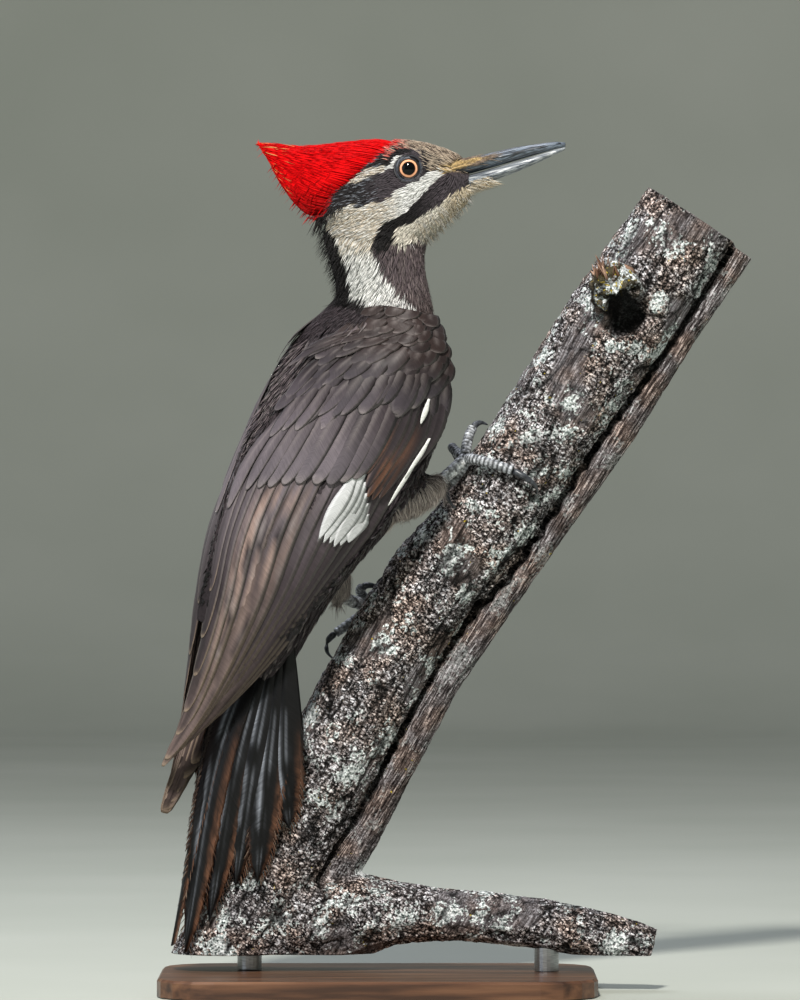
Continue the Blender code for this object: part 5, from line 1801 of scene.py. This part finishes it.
def plate_tones(places, toes):
    """Pale horn on each plate and near black in the creases, the dark skin there deepened by painted shade;
    from the nearest toe's line.
    """
    nearest = np.full(len(places), 1e9)
    tone = np.zeros((len(places), 3))
    along = np.linspace(0, 1, TOE_ROWS)
    for toe, stops in toes.items():
        plates, _, crease_shade, pale, _ = PLATED[toe]
        for share, at in zip(along, line(np.array(stops) * MM, along)):
            away = np.linalg.norm(places - at, axis=1)
            crease = 1 - math.sin(math.pi * ((share * plates) % 1.0)) ** 1.3
            tone[away < nearest] = blend(colour(pale), TOE_CREASE_SHADE, crease * crease_shade)
            nearest = np.minimum(nearest, away)
    mottled = 1 + 0.75 * field(places, 0.9, 19) + 0.75 * field(places, 2.0, 20)
    return np.clip(tone * mottled[:, None], 0, 1)


# %% Toes joined to feet
toe_plates = tinted(  # horn worn half smooth: a broken satin light on each plate
    "horny_toe_plates", [(0.3, 0.4), (0.7, 1.35)], 0.7, 0.3, grain_mm=0.9,
    Roughness=0.45, Specular_IOR_Level=0.45,
)
for side, toes in TOES.items():
    tubes = [plated_tube(f"{side}_{toe}", stops, toe) for toe, stops in toes.items()]
    choose(*tubes)
    bpy.ops.object.join()
    foot = tubes[0]
    foot.name = f"foot_skin_{side}"
    edit_all(foot)
    bpy.ops.mesh.normals_make_consistent(inside=False)
    bpy.ops.object.mode_set(mode="OBJECT")
    remesh(foot, 0.27, smooth_rounds=1)
    give(foot.data, "tint", tint_of(plate_tones(vertex_values(foot.data), toes)))
    foot.data.materials.append(toe_plates)
    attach(foot, "root")
    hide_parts(f"foot_{side}")
    print(foot.name, len(foot.data.polygons), "faces")

# %% [markdown]
# ## Claws
# A claw is a curved cone of horn, round on top, and it grips by its point. The solids have the curve
# in facets, so a copy of each is subdivided, which rounds the facets away and keeps the point in place.

# %% Claws
claw_finish = grained(  # dark horn, polished by use
    "claw_horn", [(0.3, "#16171A"), (0.7, "#4A4E54")], (1.4, 1.4, 1.4),
    bump=0.2, deep_mm=0.2, Roughness=0.32, Specular_IOR_Level=0.5,
)
for side in ("left", "right"):
    for toe in ("outer", "upper", "inner", "hind"):
        claw = copy_nodes(f"claw_horn_{side}_{toe}", [f"claw_{side}_{toe}"])
        rounded = claw.modifiers.new("rounding", "SUBSURF")
        rounded.levels = rounded.render_levels = 2
        bpy.ops.object.modifier_apply(modifier=rounded.name)
        bpy.ops.object.shade_smooth()
        claw.data.materials.append(claw_finish)
        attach(claw, "root")
        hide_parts(f"claw_{side}_{toe}")
print("eight claws, the last with", len(claw.data.polygons), "faces")

# %% [markdown]
# ## The dead limb
# Weathered bark is cracked into small blocks, lengthwise first and then across, and crusted with
# lichen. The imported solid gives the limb's form; a fine remesh of its copy is then pushed in and out
# by fields of random numbers stretched along the limb.

# %% The limb's own lines
LIMB_LINE = [  # X, Z, radius and Y of the limb, then of the ridge grown along it
    (-75, 2, 23.5, 18.5), (-60.3, 28.9, 22.8, 18), (-35.2, 74.3, 21.8, 16.5), (-8.5, 126.4, 22, 14),
    (25, 183.5, 22.3, 10), (43.4, 202.5, 22.6, 8.5), (81.2, 260.3, 23, 5.5), (111.9, 304, 25.2, 3.5),
    (141.3, 348.4, 23.4, 2),
]
RIDGE_LINE = [
    (-30, 30, 13, 18), (-14, 60, 9.8, 16.5), (-2.7, 75, 8, 16), (21.6, 122, 7.4, 13), (43.8, 158, 7.2, 10.5),
    (101.2, 238, 7.2, 6), (134.6, 290, 6.6, 3.5), (163.5, 332, 6.2, 2),
]
KNOT_END = np.array([104.5, -29.0, 316.0])
HOLLOW = np.array([111.0, -20.0, 303.5])
LIMB_AXIS = unit(np.array([0.52, -0.03, 0.85]))


def off_line(points, table):
    """How far in mm points lie outside a tube given by its line of X, Z, radius and Y."""
    rows = line(np.array(table, float), np.linspace(0, 1, 60))
    middle, radius = rows[:, [0, 3, 1]], rows[:, 2]
    best = np.full(len(points), 1e9)
    for at, thick in zip(middle, radius):
        best = np.minimum(best, np.linalg.norm(points / MM - at, axis=1) - thick)
    return best


def along_limb(points, squeeze):
    """Points with their length along the limb squeezed, so that a field is drawn out along it."""
    reach = dot(points, LIMB_AXIS)[:, None]
    return points + LIMB_AXIS * reach * (squeeze - 1)


def crack_lines(points, cell, seed, sharp):
    """1 along thin wandering lines, where a random field passes through nought."""
    return np.exp(-((field(points, cell, seed) / sharp) ** 2))


print("limb radius, mm:", min(row[2] for row in LIMB_LINE), "to", max(row[2] for row in LIMB_LINE))


# %% [markdown]
# ## Cracks, scales and a broken knot
# Each point is moved along its own normal by a sum of simple parts: grains of three sizes, cracks
# along and across, a deep groove beside the ridge, and at the knot a jagged rim round a hollow. The
# same numbers are stored with the points as painted light and shade, so that colour and form agree:
# paler on raised grain, darker in the cracks, near black in the groove and the hollow.

# %% Bark pushed in and out
bark = copy_nodes("bark", ["perch"])
remesh(bark, 1.0, smooth_rounds=4)
bark_points = vertex_values(bark.data)
bark_normals = vertex_values(bark.data, "normal")
off_limb, off_ridge = off_line(bark_points, LIMB_LINE), off_line(bark_points, RIDGE_LINE)
height = bark_points[:, 2] / MM
on_ridge = step(0.6, -0.6, off_ridge - off_limb) * step(4.0, 2.0, off_ridge) * step(30.0, 75.0, height)
groove = np.exp(-(((off_ridge - off_limb) / 1.5) ** 2)) * step(6.0, 2.5, np.abs(off_limb))
groove *= step(8.0, 30.0, height)
drawn = along_limb(bark_points, 0.25)
split = crack_lines(drawn, 6.0, 1, 0.08)
block = crack_lines(along_limb(bark_points, 1.8), 7.0, 3, 0.07)
bare = step(0.28, 0.5, field(bark_points, 17.0, 31))  # where the outer bark has flaked off
cracks = np.clip(split + block * 0.9, 0, 1) * (1 - 0.5 * on_ridge)
grains = field(bark_points, 2.0, 4) * 0.36 + field(bark_points, 3.2, 5) * 0.36
grains += field(bark_points, 9.0, 6) * 0.5
grains *= 1 - 0.65 * np.maximum(bare, on_ridge)
near_knot = step(17.0, 8.0, np.linalg.norm(bark_points / MM - KNOT_END, axis=1))
jagged = field(along_limb(bark_points, 0.6), 4.2, 8) * 2.0 + field(bark_points, 2.4, 9) * 1.6
ragged = 1 + 0.25 * field(bark_points, 5.0, 33) + 0.15 * field(bark_points, 2.2, 34)
away = bark_points / MM - HOLLOW
hollow = np.hypot(away[:, 0] / 12.5, away[:, 2] / 11.0) / ragged
hollow = step(1.05, 0.75, hollow) * (bark_normals[:, 1] < 0.1)
flat_end = step(0.75, 0.97, np.abs(dot(bark_normals, LIMB_AXIS)))
low_end = step(0.019, 0.0155, bark_points[:, 2]) * step(-0.6, -0.95, bark_normals[:, 2])
move = grains - 0.7 * cracks - 2.4 * groove - 0.2
move = move + near_knot * (1 - hollow) * jagged - 5.0 * hollow - 0.5 * bare
move *= 1 - np.maximum(flat_end * 0.7, low_end)
bark_points += bark_normals * (move * MM)[:, None]
move_points(bark.data, bark_points)
# painted light and shade: paler on raised grain, darker in cracks, near black in the groove beside the ridge
# and in the knot's hollow, where shadow falls
light_and_shade = np.clip(1.08 - 0.95 * cracks + 0.45 * grains, 0.06, 1.35)
light_and_shade *= np.clip(1 - 1.05 * groove, 0.02, 1) * (1 - 0.97 * hollow)
give(bark.data, "tint", tint_of(np.stack([light_and_shade, on_ridge, bare], axis=1)))
give(bark.data, "knot", tint_of(np.stack([near_knot * (1 - hollow), near_knot, near_knot], axis=1)))
print("bark:", len(bark.data.polygons), "faces, moved", move.min().round(2), "to", move.max().round(2), "mm")

# %% [markdown]
# ## Bark's colour
# Dead bark weathers to small grey blocks a millimetre or two across, which a cell pattern gives, with
# painted shade near black in the gaps between. Where the outer bark has flaked off, the wood is
# smoother and grey. Lichen takes hold in loose patches a centimetre or so wide, and inside a patch it
# is a crowd of crusts, bluish white, with here and there a yellow one. The strand grown along the limb
# is stringier.

# %% The bark's fields and noises
made, tree, shader = start(  # dry and chalky: it hardly shines at all, and its form is in its shadows
    "weathered_bark_with_lichen", Roughness=0.88, Specular_IOR_Level=0.15
)
whole = add(tree, "ShaderNodeTexCoord").outputs["Object"]
stored = {}
for label in ("tint", "knot"):
    held = add(tree, "ShaderNodeAttribute", attribute_name=label)
    stored[label] = add(tree, "ShaderNodeSeparateColor", {"Color": held.outputs["Color"]}).outputs
light_mask, ridge_mask, bare_mask = (stored["tint"][channel] for channel in ("Red", "Green", "Blue"))
knot_mask, wide_mask = (stored["knot"][channel] for channel in ("Red", "Green"))
LIMB_TURN = (0.0, math.atan2(LIMB_AXIS[0], LIMB_AXIS[2]), 0.0)
in_limb = {}
for label, sizes in (("block", (2.0, 2.0, 1.3)), ("fibre", (0.7, 0.7, 9.0))):
    in_limb[label] = add(
        tree, "ShaderNodeMapping", {"Vector": whole, "Scale": [v * MM for v in sizes], "Rotation": LIMB_TURN},
        vector_type="TEXTURE",
    ).outputs["Vector"]
noise = {
    label: add(tree, "ShaderNodeTexNoise", {"Vector": vector, "Scale": scale, "Detail": detail}).outputs
    for label, vector, scale, detail in (
        ("warp", in_limb["block"], 0.9, 3.0), ("grain", in_limb["block"], 1.0, 5.0),
        ("fibre", in_limb["fibre"], 1.0, 4.0), ("broad", whole, 60.0, 3.0), ("patches", whole, 78.0, 2.0),
        ("crumbs", whole, 560.0, 5.0), ("crisp", whole, 900.0, 4.0), ("specks", whole, 420.0, 2.0),
    )
}
print("bark reads", ", ".join(noise))

# %% Weathered bark in blocks, with its masks and tones
shaken = add(
    tree, "ShaderNodeVectorMath", {0: noise["warp"]["Color"], 1: (1.2, 1.2, 1.2), 2: in_limb["block"]},
    operation="MULTIPLY_ADD",
)
cells = add(
    tree, "ShaderNodeTexVoronoi", {"Vector": shaken.outputs["Vector"], "Scale": 1.0},
    feature="DISTANCE_TO_EDGE",
)
sums = {}
for label, first, times, then in (
    ("uneven", noise["fibre"]["Fac"], 0.55, cells.outputs["Distance"]),
    ("where", noise["crumbs"]["Fac"], 0.75, noise["patches"]["Fac"]),
    ("off_ridge", ridge_mask, -0.75, 1.0),
    ("more_by_knot", wide_mask, 0.13, noise["specks"]["Fac"]),
):
    sums[label] = add(
        tree, "ShaderNodeMath", {0: first, 1: times, 2: then}, operation="MULTIPLY_ADD"
    ).outputs["Value"]
ramps = {}
for label, source, stops in (
    ("wood", noise["grain"]["Fac"], [
        (0.34, "#1F1B19"), (0.44, "#665E5A"), (0.53, "#A09894"), (0.62, "#F2EEEB"),
    ]),
    ("flaked", noise["fibre"]["Fac"], [(0.34, "#332E2D"), (0.5, "#6F6866"), (0.66, "#A5A09F")]),
    ("stringy", noise["fibre"]["Fac"], [
        (0.36, "#1B1716"), (0.47, "#5B5350"), (0.56, "#857D7A"), (0.66, "#C4BEBB"),
    ]),
    ("drift", noise["broad"]["Fac"], [(0.38, "#EEDFD8"), (0.55, "#ECEFF7")]),
    ("lichen", noise["crisp"]["Fac"], [(0.37, "#434C4A"), (0.46, "#A9B3B1"), (0.56, "#E9EDED")]),
    # painted shade: near black in the gaps between the blocks
    ("gaps", sums["uneven"], [(0.31, 0.02), (0.40, 1.0)]),
    ("crust", sums["where"], [(0.955, 0.0), (0.985, 1.0)]),
    ("yellow", sums["more_by_knot"], [(0.74, 0.0), (0.76, 1.0)]),
):
    ramps[label] = add(tree, "ShaderNodeValToRGB", {"Fac": source}, stops).outputs["Color"]
print("bark tones:", ", ".join(ramps))

# %% [markdown]
# ## Layers, and the lichen on top
# The tones lie over each other like washes of paint, each let through by its own mask. A crust lichen
# is a thin rough disc that grows where bark stays put. A coarse noise says where its patches are and a
# fine one breaks them into crusts, cut off sharply, since a crust has an edge. The yellow ones are few
# and sit near the knot. The painted light and shade stored with the points, darkest in the cracks,
# the groove and the hollow, goes over everything last.

# %% Layers of the bark, from the wood up to the shade of the cracks
cover = add(
    tree, "ShaderNodeMath", {0: ramps["crust"], 1: sums["off_ridge"]}, operation="MULTIPLY"
).outputs["Value"]
layer = ramps["wood"]
for mask, over, how in (
    (1.0, ramps["gaps"], "MULTIPLY"),
    (bare_mask, ramps["flaked"], "MIX"),
    (ridge_mask, ramps["stringy"], "MIX"),
    (1.0, ramps["drift"], "MULTIPLY"),
    (knot_mask, (*colour("#4A4534"), 1.0), "MIX"),  # moss in the torn wood
    (cover, ramps["lichen"], "MIX"),
    (ramps["yellow"], (*colour("#B5A03C"), 1.0), "MIX"),
    # painted light and shade stored with the points
    (1.0, light_mask, "MULTIPLY"),
):
    layer = add(
        tree, "ShaderNodeMix", {0: mask, 6: layer, 7: over}, data_type="RGBA", blend_type=how
    ).outputs[2]
tree.links.new(layer, shader.inputs["Base Color"])
rough = add(
    tree, "ShaderNodeMath", {0: ramps["gaps"], 1: 0.6, 2: noise["grain"]["Fac"]}, operation="MULTIPLY_ADD"
)
rise = add(tree, "ShaderNodeBump", {"Height": rough.outputs["Value"], "Strength": 1.0, "Distance": 0.0012})
tree.links.new(rise.outputs["Normal"], shader.inputs["Normal"])
bark.data.materials.append(made)
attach(bark, "root")
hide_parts("perch")
print("bark:", len(tree.nodes), "nodes")

# %% [markdown]
# ## Splinters
# Where a branch tore off, the wood stands up in warm, unweathered slivers. They are strands like the
# loose feathers, only thicker, rooted on the bark at the knot and leaning the way the branch went.

# %% Splinters where the branch broke off
splinter_at = np.array([101.0, -28.0, 321.0]) + rng.normal(0, (3.6, 2.6, 1.8), (30, 3))
on_bark = surface_of(bark.data)
seated, _, _, _, _ = land(on_bark, splinter_at * MM)
splinter_way = np.array([-0.22, -0.30, 0.92]) + 0.26 * rng.standard_normal((30, 3))
wood_tone = blend(colour("#7D5C48"), colour("#D0AE97"), rng.random(30))
strands(
    "knot_splinters", seated - unit(splinter_way) * 1.5 * MM, splinter_way, 5.0 + 4.5 * rng.random(30), 1.9,
    wood_tone, "torn_wood_fibre",
)

# %% [markdown]
# ## The stand
# A plain board of dark stained walnut and two steel rods, so that the bird and her limb can stand on
# a shelf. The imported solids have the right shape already, so they stay and only take their finish.

# %% Walnut and steel
tones = [(0.35, "#3A2519"), (0.5, "#5A3C29"), (0.68, "#74523A")]
walnut = grained(  # a satin varnish over long brown grain
    "stained_walnut_satin", tones, (70.0, 5.0, 5.0), detail=6.0, bump=0.15,
    Roughness=0.42, Specular_IOR_Level=0.4, Coat_Weight=0.15,
)
tones = [(0.3, "#8E9092"), (0.7, "#B4B6B7")]
steel = grained(  # fine rings across the rod, which draw its highlight out
    "brushed_steel", tones, (3.0, 3.0, 0.3), bump=0.1, deep_mm=0.05, Metallic=1.0, Roughness=0.34,
)
for node, finish in (("stand_base", walnut), ("stand_rod_foot", steel), ("stand_rod_twig", steel)):
    for slot_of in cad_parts[node].material_slots:
        slot_of.material = finish
    print(node, "takes", finish.name)

# %% [markdown]
# ## Stage, light and camera
# A still life in a wide pale bowl: the floor curves up into a low wall all round, so the model can be
# walked round and no horizon cuts behind the bird. The sun in the open stood high and behind the
# viewer, so the key is a small soft box there, with a broad fill from the left and one from above and
# behind for the back's outline.

# %% Floor and wall in one bowl
BOWL_FLOOR, BOWL_CURVE, BOWL_TOP = 3.3, 0.9, 1.3
bpy.ops.object.select_all(action="DESELECT")
bpy.ops.mesh.primitive_circle_add(vertices=128, radius=BOWL_FLOOR + BOWL_CURVE, location=(0, 0, BOWL_TOP))
sweep = bpy.context.object
sweep.name = "stage_bowl"
bpy.ops.object.mode_set(mode="EDIT")
bpy.ops.mesh.select_all(action="SELECT")
radius, height = BOWL_FLOOR + BOWL_CURVE, BOWL_TOP
for turn in np.radians(np.linspace(90, 0, 12)):
    next_radius = BOWL_FLOOR + BOWL_CURVE * math.sin(turn)
    next_height = BOWL_CURVE * (1 - math.cos(turn)) - 0.0005
    bpy.ops.mesh.extrude_region_move(TRANSFORM_OT_translate={"value": (0, 0, next_height - height)})
    shrink = next_radius / radius
    bpy.ops.transform.resize(value=(shrink, shrink, 1), center_override=(0, 0, next_height))
    radius, height = next_radius, next_height
bpy.ops.mesh.edge_face_add()
bpy.ops.mesh.select_all(action="SELECT")
bpy.ops.mesh.normals_make_consistent(inside=True)
bpy.ops.object.mode_set(mode="OBJECT")
bpy.ops.object.shade_smooth()
tones = [(0.3, "#ADB2A8"), (0.7, "#B7BBB2")]
paint = grained(  # chalky, so that the bowl has no highlight of its own
    "painted_bowl", tones, (330.0, 330.0, 330.0), bump=0.05, Roughness=0.85, Specular_IOR_Level=0.2,
)
sweep.data.materials.append(paint)
print(sweep.name, len(sweep.data.polygons), "faces, wall", BOWL_TOP, "m high")

# %% [markdown]
# ## Camera
# A camera far off with a long lens keeps the bird in her true proportions, as one looks at a small
# wild bird. It stands level with her middle and looks straight along the Y axis.

# %% Camera
FRAME_HEIGHT = 0.445  # metres of the bird's plane, bottom to top of the view
CAMERA_AWAY = 3.0
BIRD_PLANE = -0.030  # the Y of her middle
camera_data = bpy.data.cameras.new("camera")
camera_data.sensor_width = 36.0
camera_data.lens = 36.0 * CAMERA_AWAY / FRAME_HEIGHT
camera_data.clip_end = 20.0
camera = bpy.data.objects.new("camera", camera_data)
camera.location = (0.010, BIRD_PLANE - CAMERA_AWAY, 0.2203)
camera.rotation_euler = (math.pi / 2, 0, 0)
bpy.context.collection.objects.link(camera)
bpy.context.scene.camera = camera
print("lens:", round(camera_data.lens), "mm")

# %% [markdown]
# ## Lights
# The key is small, so that it casts the crisp shadows of a sunny day and puts one sharp glint in the
# eye. The fill is broad and bluish like open sky, and weak, so that black feathers keep their depth.


# %% Soft boxes
def soft_box(name, place, aim, size, watts, tone):
    lamp = bpy.data.lights.new(name, "AREA")
    lamp.shape = "DISK"
    lamp.size = size
    lamp.energy = watts
    lamp.color = tuple(colour(tone))
    held = bpy.data.objects.new(name, lamp)
    held.location = place
    held.rotation_euler = (Vector(aim) - Vector(place)).to_track_quat("-Z", "Y").to_euler()
    bpy.context.collection.objects.link(held)


MIDDLE = (0.0, 0.0, 0.24)
soft_box("key", (-0.28, -2.20, 2.10), MIDDLE, 0.28, 126.0, "#FFFBF5")
soft_box("fill", (-1.5, -1.2, 0.7), MIDDLE, 1.4, 5.0, "#E4EEFF")
soft_box("top", (-0.3, 0.5, 1.6), MIDDLE, 1.0, 12.0, "#EEF3FF")
world = bpy.data.worlds.new("room")
bpy.context.scene.world = world
world.use_nodes = True
world.node_tree.nodes["Background"].inputs["Color"].default_value = (*colour("#DDE3EA"), 1.0)
world.node_tree.nodes["Background"].inputs["Strength"].default_value = 0.27
bpy.context.scene.view_settings.view_transform = "Standard"
bpy.context.scene.view_settings.look = "None"
print("lamps:", len(bpy.data.lights))

# %% [markdown]
# ## The bill guide
# The dressed model has to keep the size of the solids, give or take the bark and the loose feathers.
# The bill that feathers were rooted on has done its work and goes.

# %% The bill that feathers were rooted on is removed
bpy.data.objects.remove(bill_guide)
